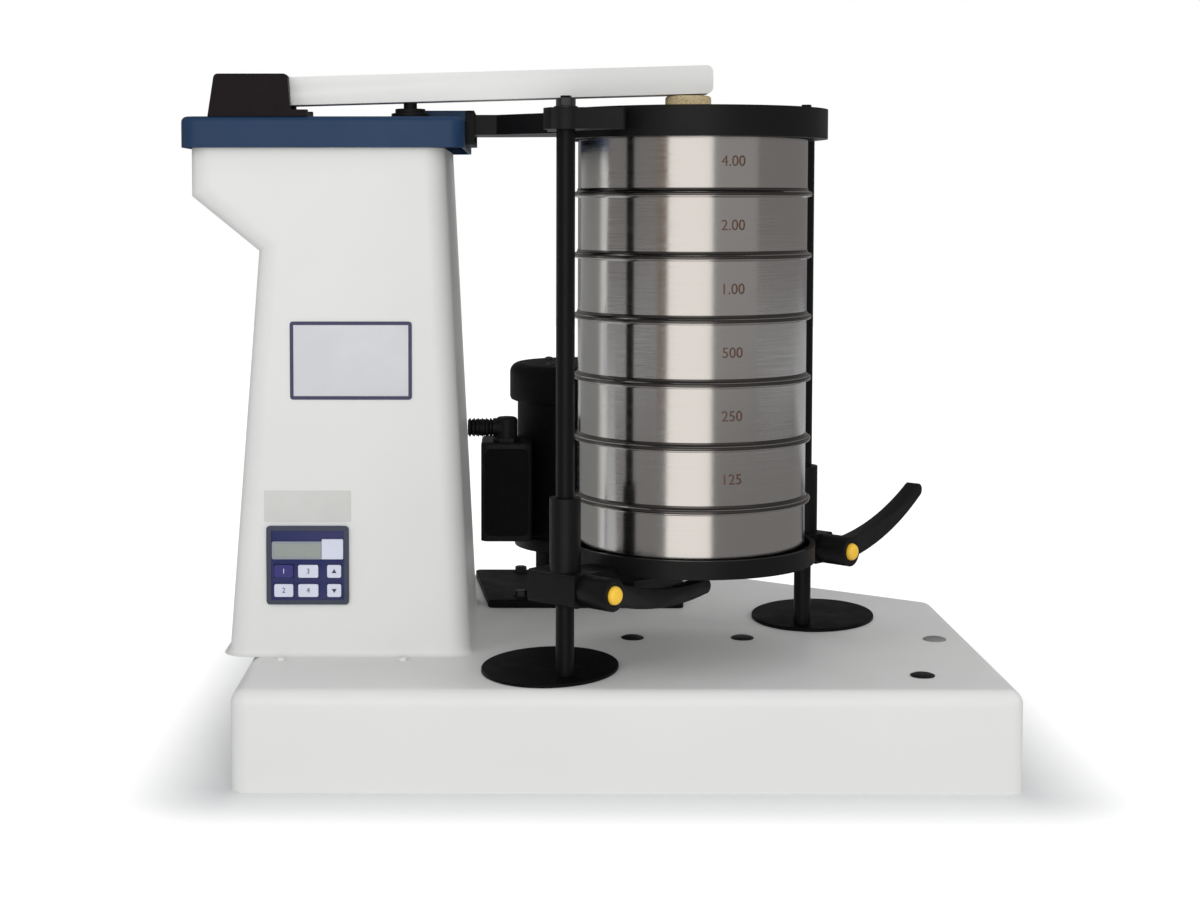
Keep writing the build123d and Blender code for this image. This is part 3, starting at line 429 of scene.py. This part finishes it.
def skinned(name, points, faces):
    """An object from points and faces, with its faces turned outwards."""
    mesh = bpy.data.meshes.new(name)
    mesh.from_pydata(points, [], faces)
    work = bmesh.new()
    work.from_mesh(mesh)
    bmesh.ops.remove_doubles(work, verts=work.verts, dist=same_point)
    bmesh.ops.recalc_face_normals(work, faces=work.faces)
    work.to_mesh(mesh)
    work.free()
    skin = bpy.data.objects.new(name, mesh)
    bpy.context.collection.objects.link(skin)
    return skin


def made(name, points, faces, finish, body, slot, angle=sharp_from):
    """A mesh piece from points and faces, shaded, finished and riding on a body."""
    piece = skinned(name, points, faces)
    smooth_by_angle(piece.data, angle)
    return finish_piece(piece, finish, body)


def lofted(rings):
    """Points and faces of a closed skin over rings of equal count, capped at both ends."""
    count = len(rings[0])
    points = [point for ring in rings for point in ring]
    faces = [tuple(range(count)), tuple(range(len(points) - count, len(points)))]
    for start in range(0, len(points) - count, count):
        for k in range(count):
            following = (k + 1) % count
            beyond = start + count
            faces.append((start + k, start + following, beyond + following, beyond + k))
    return points, faces


def looped(points, row):
    """Faces that join each row of points to the next, closed along the rows and across them."""
    rows = len(points) // row
    faces = []
    for k in range(rows):
        for step in range(row):
            following, beyond = (k + 1) % rows, (step + 1) % row
            faces.append((k * row + step, following * row + step,
                          following * row + beyond, k * row + beyond))
    return faces


print("points on a rounded outline:", len(rounded_outline(-1, 1, -1, 1, 0.1)))

# %% [markdown]
# A plate and a frame on the tower's front are both a rounded outline pushed out towards the
# camera. Given a border, the same outline drawn twice makes a frame. The plate's front edge is
# drawn in a little, so that it catches light as a cut film does.


# %% Plates and frames
def raised_plate(name, edges, front, back, radius, finish, body, slot):
    """A thin plate with a softened front edge."""
    left, right, bottom, top = edges
    ease = min(0.0003, (back - front) / 2)
    rings = []
    for inset, y in ((0, back), (0, front + ease), (ease, front)):
        outline = rounded_outline(
            left + inset, right - inset, bottom + inset, top - inset, max(radius - inset, 0.0001)
        )
        rings.append([(x, y, z) for x, z in outline])
    return made(name, *lofted(rings), finish, body, slot)


def raised_frame(name, edges, front, back, radius, border, finish, body, slot):
    """A rounded frame: an outer and an inner outline, joined front and back."""
    left, right, bottom, top = edges
    outer = rounded_outline(left, right, bottom, top, radius)
    inner = rounded_outline(
        left + border, right - border, bottom + border, top - border, max(radius - border, 0.0005)
    )
    points = []
    for outline, y in ((outer, back), (outer, front), (inner, front), (inner, back)):
        points += [(x, y, z) for x, z in outline]
    return made(name, points, looped(points, len(outer)), finish, body, slot)


def edges_of(node):
    """Left, right, bottom and top of a node on the tower's front, and its front face."""
    low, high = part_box(node)
    return (low[0], high[0], low[2], high[2]), low[1]


label_edges, label_front = edges_of("nameplate")
panel_edges, panel_front = edges_of("keypad_panel")
window_edges, window_front = edges_of("display_window")
print("label measures", [round(1000 * (label_edges[k + 1] - label_edges[k])) for k in (0, 2)], "mm")

# %% [markdown]
# The nameplate keeps its dark border and is otherwise bare. The keypad is a navy panel in a slate
# rim, with a grey display at its upper left and a white field beside it. Each is a film of a
# fifth of a millimetre, so it sits just proud of the plate under it.

# %% Border, rim and display
film = 0.0002
frame_radius = 0.003
label_border_width = 0.0032
panel_border_width = 0.0042
raised_frame("nameplate_border", label_edges, label_front - film, label_front,
             frame_radius, label_border_width, label_border, "frame", "navy_film")
raised_frame("keypad_rim", panel_edges, panel_front - 3 * film, panel_front,
             frame_radius, panel_border_width, navy_rim, "frame", "navy_film")
display_span = 0.064
glass_edge = 0.0022
glass_right = window_edges[0] + 0.68 * display_span
field_left = window_edges[0] + 0.70 * display_span
glass = raised_plate(
    "display_glass",
    (window_edges[0] + glass_edge, glass_right, window_edges[2] + glass_edge,
     window_edges[3] - glass_edge),
    window_front - film, window_front, 0.0008, lcd_film, "frame", "display_grey")
legend = raised_plate(
    "display_legend",
    (field_left, window_edges[1], window_edges[2], window_edges[3] + glass_edge),
    window_front - 2 * film, panel_front + film, 0.001, key_film, "frame", "display_grey")
print("on the display:", glass.name, "and", legend.name)

# %% [markdown]
# The keys and the sieves get plain numbers. A number could be drawn in a material, but then it
# would be lost in the mesh. So it is a text curve with a thickness, turned into points and faces
# that can be laid flat on a key or bent round a sieve. A digit stands as high as seven tenths of its
# type size.


# %% Solid numbers
digit_share = 0.7


def number_points(text, height, thickness):
    """A closed solid number, centred, as points and faces."""
    curve = bpy.data.curves.new("number", "FONT")
    curve.body = text
    curve.size = height / digit_share
    curve.extrude = thickness / 2
    curve.align_x = "CENTER"
    curve.align_y = "CENTER"
    holder = bpy.data.objects.new("number", curve)
    bpy.context.collection.objects.link(holder)
    shapes = bpy.context.evaluated_depsgraph_get()
    mesh = bpy.data.meshes.new_from_object(holder.evaluated_get(shapes))
    points = [tuple(v.co) for v in mesh.vertices]
    faces = [tuple(face.vertices) for face in mesh.polygons]
    bpy.data.objects.remove(holder)
    bpy.data.curves.remove(curve)
    bpy.data.meshes.remove(mesh)
    return points, faces


print("faces of a solid 1:", len(number_points("1", 0.01, 0.001)[1]))

# %% [markdown]
# Four keys carry the numbers 1 to 4, and two carry an up and a down triangle. Each mark is half
# sunk in its key and rides on it, because a membrane key gives half a millimetre when it is
# pressed.


# %% Marks on the keys
def key_middle(number):
    """The middle of a key, across and up, and its front face."""
    key_edges, key_front = edges_of(f"key_{number}")
    return (key_edges[0] + key_edges[1]) / 2, (key_edges[2] + key_edges[3]) / 2, key_front


ink_height = 0.0002
key_number_height = 0.0045
key_ink = {1: key_film, 2: mark_ink, 3: mark_ink, 4: mark_ink}
for number, ink in key_ink.items():
    middle_x, middle_z, key_front = key_middle(number)
    points, faces = number_points(str(number), key_number_height, 2 * ink_height)
    raised = [(middle_x + x, key_front - y, middle_z + z) for x, z, y in points]
    made(f"key_{number}_mark", raised, faces, ink, f"key_{number}", "key_navy")

triangle = ((-0.0022, -0.0015), (0.0022, -0.0015), (0, 0.0022))
for number, upward in ((5, 1), (6, -1)):
    middle_x, middle_z, key_front = key_middle(number)
    rings = [[(middle_x + x, y, middle_z + z * upward) for x, z in triangle]
             for y in (key_front + ink_height, key_front - ink_height)]
    made(f"key_{number}_mark", *lofted(rings), mark_ink, f"key_{number}", "key_navy")

# %% [markdown]
# Each sieve carries the size of its cloth, etched in brown on the polished wall. The sizes are
# the plain numbers of a standard series, from coarse at the top to fine at the bottom. To bend a
# flat number round the nest, its distance across becomes an angle about the nest's axis.

# %% Etched numbers on the sieves
etched_steel = turned_steel("etched_steel", (0.30, 0.19, 0.15), 0.5, 0.1)
nest_low, nest_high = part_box("sieve_3")
nest_x = (nest_low[0] + nest_high[0]) / 2
nest_y = (nest_low[1] + nest_high[1]) / 2
wall_radius = 0.1025
etch_turn = math.radians(15)
etch_height = 0.009
etch_thickness = 0.0009
above_middle = 0.004
cloth_sizes = {6: "4.00", 5: "2.00", 4: "1.00", 3: "500", 2: "250", 1: "125"}


def wrapped(name, text, height, middle_turn, level, body):
    """A number bent round the nest's axis, half sunk in the wall."""
    points, faces = number_points(text, height, etch_thickness)
    bent = []
    for across, up, out in points:
        turn = middle_turn + across / wall_radius
        reach = wall_radius + out
        bent.append((nest_x + reach * math.sin(turn), nest_y - reach * math.cos(turn), level + up))
    return made(name, bent, faces, etched_steel, body, "sieve_steel", stepped_sharp_from)


for number, size in cloth_sizes.items():
    low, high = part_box(f"sieve_{number}")
    body = body_of_node[f"sieve_{number}"]
    middle = (low[2] + high[2]) / 2 + above_middle
    wrapped(f"sieve_{number}_size", size, etch_height, etch_turn, middle, body)
print("etched numbers:", list(cloth_sizes.values()))

# %% [markdown]
# What repeats is made by Geometry Nodes. One group puts a unit at even steps on a line, the other
# puts it round a circle. Both end in the same nodes: instances on points, Realize Instances and
# Set Material.


# %% The common end of both groups
def new_group(name, inputs):
    """A geometry node group with named inputs."""
    group = bpy.data.node_groups.new(name, "GeometryNodeTree")
    for label, kind in inputs:
        group.interface.new_socket(label, in_out="INPUT", socket_type=kind)
    group.interface.new_socket("Geometry", in_out="OUTPUT", socket_type="NodeSocketGeometry")
    return group, group.nodes.new("NodeGroupInput"), group.nodes.new("NodeGroupOutput")


def place_units(group, entry, leave, points, turn=None):
    """Instances of the unit on the points, realized and given their material."""
    unit = group.nodes.new("GeometryNodeObjectInfo")
    spots = group.nodes.new("GeometryNodeInstanceOnPoints")
    real = group.nodes.new("GeometryNodeRealizeInstances")
    paint = group.nodes.new("GeometryNodeSetMaterial")
    group.links.new(entry.outputs["Unit"], unit.inputs["Object"])
    group.links.new(points, spots.inputs["Points"])
    group.links.new(unit.outputs["Geometry"], spots.inputs["Instance"])
    if turn:
        group.links.new(turn, spots.inputs["Rotation"])
    group.links.new(spots.outputs["Instances"], real.inputs["Geometry"])
    group.links.new(real.outputs["Geometry"], paint.inputs["Geometry"])
    group.links.new(entry.outputs["Finish"], paint.inputs["Material"])
    group.links.new(paint.outputs["Geometry"], leave.inputs["Geometry"])


print("group helpers:", new_group.__name__, "and", place_units.__name__)

# %% [markdown]
# The line group needs a count, a start and a step. The circle group takes a mesh circle's
# corners, turns them and moves them to the middle of the ring.

# %% Repeats on a line and round a circle
line_group, entry, leave = new_group("repeat_on_line", (
    ("Unit", "NodeSocketObject"), ("Count", "NodeSocketInt"), ("Start", "NodeSocketVector"),
    ("Step", "NodeSocketVector"), ("Finish", "NodeSocketMaterial")))
line = line_group.nodes.new("GeometryNodeMeshLine")
line_group.links.new(entry.outputs["Count"], line.inputs["Count"])
line_group.links.new(entry.outputs["Start"], line.inputs["Start Location"])
line_group.links.new(entry.outputs["Step"], line.inputs["Offset"])
place_units(line_group, entry, leave, line.outputs["Mesh"])

ring_group, entry, leave = new_group("repeat_on_ring", (
    ("Unit", "NodeSocketObject"), ("Count", "NodeSocketInt"), ("Radius", "NodeSocketFloat"),
    ("Middle", "NodeSocketVector"), ("Turn", "NodeSocketFloat"), ("Finish", "NodeSocketMaterial")))
circle = ring_group.nodes.new("GeometryNodeMeshCircle")
shift = ring_group.nodes.new("GeometryNodeTransform")
spin = ring_group.nodes.new("ShaderNodeCombineXYZ")
ring_group.links.new(entry.outputs["Count"], circle.inputs["Vertices"])
ring_group.links.new(entry.outputs["Radius"], circle.inputs["Radius"])
ring_group.links.new(entry.outputs["Turn"], spin.inputs["Z"])
ring_group.links.new(circle.outputs["Mesh"], shift.inputs["Geometry"])
ring_group.links.new(spin.outputs[0], shift.inputs["Rotation"])
ring_group.links.new(entry.outputs["Middle"], shift.inputs["Translation"])
place_units(ring_group, entry, leave, shift.outputs["Geometry"])
print("groups:", line_group.name, "and", ring_group.name)

# %% [markdown]
# A group runs on an empty mesh with a modifier. Its inputs are set by their identifiers before
# the holder is first evaluated, and the evaluated result is kept as a plain mesh. The units are
# turned shapes: a profile spun by hand into loops, then skinned.


# %% Run a group, and turn a unit
def repeated(name, group, values, body, angle=sharp_from):
    """Runs a group with its named inputs and keeps the result as a plain mesh piece."""
    holder = bpy.data.objects.new(name + "_maker", bpy.data.meshes.new(name + "_maker"))
    bpy.context.collection.objects.link(holder)
    maker = holder.modifiers.new("repeat", "NODES")
    maker.node_group = group
    for socket in group.interface.items_tree:
        if socket.in_out == "INPUT":
            maker[socket.identifier] = values[socket.name]
    shapes = bpy.context.evaluated_depsgraph_get()
    mesh = bpy.data.meshes.new_from_object(holder.evaluated_get(shapes))
    bpy.data.objects.remove(holder)
    bpy.data.objects.remove(values["Unit"])
    smooth_by_angle(mesh, angle)
    piece = bpy.data.objects.new(name, mesh)
    bpy.context.collection.objects.link(piece)
    return finish_piece(piece, values["Finish"], body)


def turned_unit(name, profile, axis="Z", sides=32):
    """A turned shape from (radius, height) points, about an axis through the origin."""
    points = []
    for radius, height in profile:
        for k in range(sides):
            turn = 2 * math.pi * k / sides
            across, up = radius * math.cos(turn), radius * math.sin(turn)
            points.append((across, up, height) if axis == "Z" else (height, across, up))
    rings = [points[start:start + sides] for start in range(0, len(points), sides)]
    return skinned(name, *lofted(rings))


def ring_unit(name, profile, sides=144):
    """A ring about the Z axis from a closed loop of (radius, height) points."""
    points = []
    for k in range(sides):
        turn = 2 * math.pi * k / sides
        points += [(radius * math.cos(turn), radius * math.sin(turn), height)
                   for radius, height in profile]
    return skinned(name, points, looped(points, len(profile)))


print("unit makers:", turned_unit.__name__, "and", ring_unit.__name__)

# %% [markdown]
# A sieve's wall is rolled outwards at the top, and necks in where the next one sits in it. The
# solid has a plain square bead there. One rounded ring with a hollow neck above it lies over each
# of the six beads, at even steps up the nest. The ring's steel is much darker than the wall: this
# is painted shade, so that each joint reads as a dark band.

# %% Rolled rims
# The rings' steel is given a dark colour: painted shade for the shadow in each joint.
rim_steel_painted_shade = turned_steel("rim_painted_shade_steel", (0.15, 0.142, 0.138), 0.2, 0.1)
rim_profile = [
    (-0.001, -0.0046), (0.0030, -0.0044), (0.0041, -0.0035), (0.0045, -0.0022), (0.0041, -0.0010),
    (0.0030, -0.0001), (0.0014, 0.0004), (0.0007, 0.0014), (0.0004, 0.0030), (-0.001, 0.0034),
]
skirt_depth = 0.012
first_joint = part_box("sieve_1")[0][2] + skirt_depth
joint_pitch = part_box("sieve_2")[0][2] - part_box("sieve_1")[0][2]
rim = ring_unit("rim", [(wall_radius + out, up) for out, up in rim_profile])
repeated("sieve_rims", line_group, {
    "Unit": rim, "Count": len(cloth_sizes), "Start": (nest_x, nest_y, first_joint),
    "Step": (0, 0, joint_pitch), "Finish": rim_steel_painted_shade,
}, body_of_node["sieve_1"], stepped_sharp_from)
print("sieve pitch", round(1000 * joint_pitch, 1), "mm")

# %% [markdown]
# The conduit is a ribbed plastic pipe, and the tips of the posts are threaded. Both are small
# lathe shapes at even steps: the real thread is a helix, but at two to four crests nobody can
# tell, and separate crests stay closed and light.

# %% Conduit ribs and stud tips
conduit_low, conduit_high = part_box("conduit")
conduit_y = (conduit_low[1] + conduit_high[1]) / 2
conduit_z = (conduit_low[2] + conduit_high[2]) / 2
rib_pitch = 0.0042
rib_count = int((conduit_high[0] - conduit_low[0]) / rib_pitch)
rib_radius = (conduit_high[1] - conduit_low[1]) / 2
rib_root, rib_top = rib_radius - 0.001, rib_radius + 0.0009
rib = turned_unit("rib", [(rib_root, -0.0012), (rib_top, -0.0006), (rib_top, 0.0006),
                          (rib_root, 0.0012)], axis="X")
first_rib = conduit_low[0] + rib_pitch / 2
repeated("conduit_ribs", line_group, {
    "Unit": rib, "Count": rib_count, "Start": (first_rib, conduit_y, conduit_z),
    "Step": (rib_pitch, 0, 0), "Finish": black_plastic}, "frame")

nut_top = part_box("post_nuts")[1][2]
thread_root, thread_crest, thread_pitch = 0.0042, 0.005, 0.00125
crest_profile = [(thread_root, -0.0006), (thread_crest, -0.0001), (thread_crest, 0.0001),
                 (thread_root, 0.0006)]
for side, post_x, post_y, crests in (("left", -0.051, -0.220, 2), ("right", 0.182, -0.010, 4)):
    crest = turned_unit("crest", crest_profile)
    repeated(f"stud_tip_{side}", line_group, {
        "Unit": crest, "Count": crests, "Start": (post_x, post_y, nut_top),
        "Step": (0, 0, thread_pitch), "Finish": nut_steel}, body_of_node["post_nuts"])
print("conduit ribs:", rib_count, "with a pitch of", 1000 * rib_pitch, "mm")

# %% [markdown]
# Four screws hold the motor's cap and four bolts its plate. They stand on circles about the
# motor, turned by an eighth so that they come to the corners of the square plate.

# %% Motor screws and bolts
cap_low, cap_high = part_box("motor_cap")
motor_x = (cap_low[0] + cap_high[0]) / 2
motor_y = (cap_low[1] + cap_high[1]) / 2
plate_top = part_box("motor_plate")[1][2]
screw_circle, bolt_circle = 0.052, 0.094
eighth_turn = math.radians(45)
screw = turned_unit("screw", [(0.0045, -0.001), (0.0045, 0.001), (0.0038, 0.0022), (0.002, 0.0028),
                              (0.0018, 0.0016)])
repeated("motor_cap_screws", ring_group, {
    "Unit": screw, "Count": 4, "Radius": screw_circle, "Middle": (motor_x, motor_y, cap_high[2]),
    "Turn": eighth_turn, "Finish": nut_steel}, "frame")
bolt = turned_unit("bolt", [(0.008, 0.0), (0.008, 0.0012), (0.0062, 0.0012), (0.0062, 0.0052),
                            (0.0054, 0.006)], sides=6)
repeated("motor_plate_bolts", ring_group, {
    "Unit": bolt, "Count": 4, "Radius": bolt_circle, "Middle": (motor_x, motor_y, plate_top),
    "Turn": eighth_turn, "Finish": nut_steel}, "frame")
print("motor's middle", round(motor_x, 3), round(motor_y, 3))

# %% [markdown]
# The tower's foot runs into the base through a small concave bead of sealant and paint. Its
# section is a quarter arc, closed at the back, and it is carried round the foot's outline, square
# to each stretch of it. A curve with a bevel object would do too, but a loop keeps the section
# upright.

# %% Foot bead
foot_low, foot_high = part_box("tower_housing")
foot_left = -0.353
foot_corner = 0.020
bead = 0.005
bead_root = 0.0015
bead_steps = 6
arc = [math.radians(90 * step / bead_steps) for step in range(bead_steps + 1)]
section = [(bead * (1 - math.cos(turn)), bead * (1 - math.sin(turn))) for turn in arc]
section = [(-bead_root, bead)] + section + [(-bead_root, 0)]
outline = rounded_outline(foot_left, foot_high[0], foot_low[1], foot_high[1], foot_corner,
                          steps=10)
bead_points = []
for k, (x, y) in enumerate(outline):
    before, after = outline[k - 1], outline[(k + 1) % len(outline)]
    along = Vector((after[0] - before[0], after[1] - before[1])).normalized()
    outward = Vector((along.y, -along.x))
    for out, up in section:
        bead_points.append((x + outward.x * out, y + outward.y * out, foot_low[2] + up))
bead_faces = looped(bead_points, len(section))
made("tower_foot_bead", bead_points, bead_faces, white_coat, "frame", "white_coat",
     stepped_sharp_from)
print("foot bead faces:", len(bead_faces))

# %% [markdown]
# The junction box on the motor has a pressed cover, a little smaller than the box, which leaves a
# joint line round it.

# %% Junction box cover
box_low, box_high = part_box("junction_box")
side_gap, end_gap = 0.004, 0.006
cover_out, cover_in = 0.0015, 0.001
cover_corner = 0.006
cover = raised_plate(
    "junction_box_cover",
    (box_low[0] + side_gap, box_high[0] - side_gap, box_low[2] + end_gap, box_high[2] - end_gap),
    box_low[1] - cover_out, box_low[1] + cover_in, cover_corner, motor_coat, "frame",
    "motor_black")
print("cover", [round(1000 * side) for side in cover.dimensions], "mm")

# %% [markdown]
# The studio floor is white paint, which keeps the machine's shadow. A photograph's floor is
# lifted to pure white away from the machine, so the camera's rays also get a share of plain
# white, none at the base and nearly all of it a hand's breadth away. The floor round the base
# is thus darker than further out: partly the real shadow, partly painted shade. The share
# follows the distance from the base's rectangle: what is left of the place after the base's half
# sizes are taken off, never below nought.


# %% Studio floor
def vector_step(tree, operation, source, value=(0, 0, 0)):
    """One step of vector arithmetic."""
    step = tree.nodes.new("ShaderNodeVectorMath")
    step.operation = operation
    step.inputs[1].default_value = value
    tree.links.new(source, step.inputs[0])
    return step


def studio_white(name, machine_low, machine_high):
    """White floor paint, lifted towards pure white away from the machine's foot, with painted shade
    round the foot.
    """
    finish, tree, shader = new_finish(name)
    shader.inputs["Base Color"].default_value = (0.80, 0.80, 0.80, 1)
    shader.inputs["Roughness"].default_value = 0.55
    glow = tree.nodes.new("ShaderNodeEmission")
    glow.inputs["Strength"].default_value = 1.15
    path = tree.nodes.new("ShaderNodeLightPath")
    place = tree.nodes.new("ShaderNodeTexCoord")
    middle = (machine_low + machine_high) / 2
    half = (machine_high - machine_low) / 2
    aside = vector_step(tree, "SUBTRACT", place.outputs["Object"], middle)
    aside = vector_step(tree, "ABSOLUTE", aside.outputs["Vector"])
    aside = vector_step(tree, "SUBTRACT", aside.outputs["Vector"], half)
    aside = vector_step(tree, "MAXIMUM", aside.outputs["Vector"])
    reach = vector_step(tree, "LENGTH", aside.outputs["Vector"])
    # Painted shade: little glow near the base, so the floor there stays darker than further out.
    painted_shade_ramp = tree.nodes.new("ShaderNodeMapRange")
    painted_shade_ramp.interpolation_type = "SMOOTHSTEP"
    painted_shade_ramp.inputs["From Min"].default_value = -0.02
    painted_shade_ramp.inputs["From Max"].default_value = 0.13
    painted_shade_ramp.inputs["To Min"].default_value = 0.0
    painted_shade_ramp.inputs["To Max"].default_value = 0.97
    tree.links.new(reach.outputs["Value"], painted_shade_ramp.inputs["Value"])
    share = tree.nodes.new("ShaderNodeMath")
    share.operation = "MULTIPLY"
    tree.links.new(painted_shade_ramp.outputs["Result"], share.inputs[1])
    mix = tree.nodes.new("ShaderNodeMixShader")
    tree.links.new(path.outputs["Is Camera Ray"], share.inputs[0])
    tree.links.new(share.outputs[0], mix.inputs["Fac"])
    tree.links.new(shader.outputs[0], mix.inputs[1])
    tree.links.new(glow.outputs[0], mix.inputs[2])
    tree.links.new(mix.outputs[0], tree.nodes["Material Output"].inputs["Surface"])
    return finish


def flat_card(name, corners, finish):
    """A four-cornered stage card."""
    mesh = bpy.data.meshes.new(name)
    mesh.from_pydata(corners, [], [(0, 1, 2, 3)])
    card = bpy.data.objects.new(name, mesh)
    card.data.materials.append(finish)
    bpy.context.collection.objects.link(card)
    return card


floor_reach = 6
floor_signs = ((-1, -1), (1, -1), (1, 1), (-1, 1))
floor_corners = [(x * floor_reach, y * floor_reach, 0) for x, y in floor_signs]
floor_finish_painted_shade = studio_white("studio_floor_painted_shade", *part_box("base_housing"))
floor = flat_card("studio_floor", floor_corners, floor_finish_painted_shade)
print("floor", floor.dimensions[0], "m wide")

# %% [markdown]
# The world is white to the camera and a soft fill to every surface. To reflections it is a dull
# grey, because a polished wall looks like steel only when it mirrors something darker than
# itself.

# %% World
world = bpy.data.worlds.new("studio_world")
world.use_nodes = True
bpy.context.scene.world = world
world_tree = world.node_tree
lighting = world_tree.nodes["Background"]
lighting.inputs["Color"].default_value = (0.95, 0.97, 1.0, 1)
lighting.inputs["Strength"].default_value = 0.53
shown = world_tree.nodes.new("ShaderNodeBackground")
shown.inputs["Color"].default_value = (1, 1, 1, 1)
mirrored = world_tree.nodes.new("ShaderNodeBackground")
mirrored.inputs["Color"].default_value = (1, 0.96, 0.94, 1)
mirrored.inputs["Strength"].default_value = 0.19
world_path = world_tree.nodes.new("ShaderNodeLightPath")
glossy_mix = world_tree.nodes.new("ShaderNodeMixShader")
camera_mix = world_tree.nodes.new("ShaderNodeMixShader")
world_tree.links.new(world_path.outputs["Is Glossy Ray"], glossy_mix.inputs["Fac"])
world_tree.links.new(lighting.outputs[0], glossy_mix.inputs[1])
world_tree.links.new(mirrored.outputs[0], glossy_mix.inputs[2])
world_tree.links.new(world_path.outputs["Is Camera Ray"], camera_mix.inputs["Fac"])
world_tree.links.new(glossy_mix.outputs[0], camera_mix.inputs[1])
world_tree.links.new(shown.outputs[0], camera_mix.inputs[2])
world_tree.links.new(camera_mix.outputs[0], world_tree.nodes["World Output"].inputs["Surface"])
print("world fill", round(lighting.inputs["Strength"].default_value, 2))

# %% [markdown]
# Large soft lamps give the light: the main one behind the camera, weaker ones from the left, the
# right and above. They don't show in reflections, where they would burn out the steel.


# %% Lamps
def soft_box(name, place, target, width, height, power):
    """A rectangular area lamp that faces a point."""
    data = bpy.data.lights.new(name, "AREA")
    data.shape = "RECTANGLE"
    data.size = width
    data.size_y = height
    data.energy = power
    lamp = bpy.data.objects.new(name, data)
    lamp.location = place
    lamp.rotation_mode = "QUATERNION"
    lamp.rotation_quaternion = (Vector(target) - Vector(place)).to_track_quat("-Z", "Y")
    bpy.context.collection.objects.link(lamp)
    return lamp


machine_middle = (0, 0, 0.35)
lamps = (
    soft_box("front_softbox", (0.0, -3.1, 0.9), machine_middle, 2.0, 1.5, 33),
    soft_box("front_left_softbox", (-1.6, -1.8, 1.5), machine_middle, 0.6, 1.2, 5),
    soft_box("right_softbox", (2.3, -0.6, 1.3), machine_middle, 0.8, 1.2, 10),
    soft_box("overhead_softbox", (0.1, 0.4, 2.6), machine_middle, 1.6, 1.6, 6),
)
for lamp in lamps:
    lamp.visible_glossy = False
print("lamps:", {lamp.name: lamp.data.energy for lamp in lamps})

# %% [markdown]
# Cards make the steel's picture, as a product photographer places them: a bright warm window in
# front, a brown edge beside it, a grey screen on the right, and grey card on the floor with the
# window's own light on it. Only reflections see them, and each shines no more than white paper
# does.


# %% Cards for the steel
def glowing(name, colour, strength):
    """A card finish that shines by itself."""
    finish, tree, shader = new_finish(name)
    glow = tree.nodes.new("ShaderNodeEmission")
    glow.inputs["Color"].default_value = (*colour, 1)
    glow.inputs["Strength"].default_value = strength
    tree.links.new(glow.outputs[0], tree.nodes["Material Output"].inputs["Surface"])
    return finish


def upright(left, right, top=2.4):
    """Corners of a card that stands between two points on the floor."""
    return [(*left, 0), (*right, 0), (*right, top), (*left, top)]


def lying(points, level):
    """Corners of a card that lies just above the floor."""
    return [(*point, level) for point in points]


window_light = glowing("window_glow", (1.0, 0.955, 0.91), 1.0)
brown_light = glowing("brown_glow", (1.0, 0.80, 0.66), 0.2)
pale_light = glowing("pale_grey_glow", (1.0, 0.96, 0.94), 0.29)
grey_light = glowing("grey_glow", (1.0, 0.97, 0.95), 0.2)
window_left, window_right = (-1.55, -3.1), (0.86, -3.1)
window_near = ((0.19, -0.6), (-0.20, -0.6))
front_floor = ((-3, -3.1), (3.4, -3.1), (3.4, -0.3), (-3, -0.3))
right_floor = ((0.47, -0.3), (3.4, -0.3), (3.4, 1.5), (0.47, 1.5))
cards = (
    ("window_card", upright(window_left, window_right), window_light),
    ("window_on_floor", lying((window_left, window_right, *window_near), 0.004), window_light),
    ("brown_card", upright((-2.35, -3.1), (-1.57, -3.1)), brown_light),
    ("grey_card", upright((0.88, -3.1), (3.4, -1.9)), pale_light),
    ("front_floor_card", lying(front_floor, 0.002), grey_light),
    ("right_floor_card", lying(right_floor, 0.002), grey_light),
)
for card_name, corners, light in cards:
    card = flat_card(card_name, corners, light)
    card.visible_camera = False
    card.visible_diffuse = False
    card.visible_transmission = False
    card.visible_shadow = False
print("cards:", [card_name for card_name, corners, light in cards])
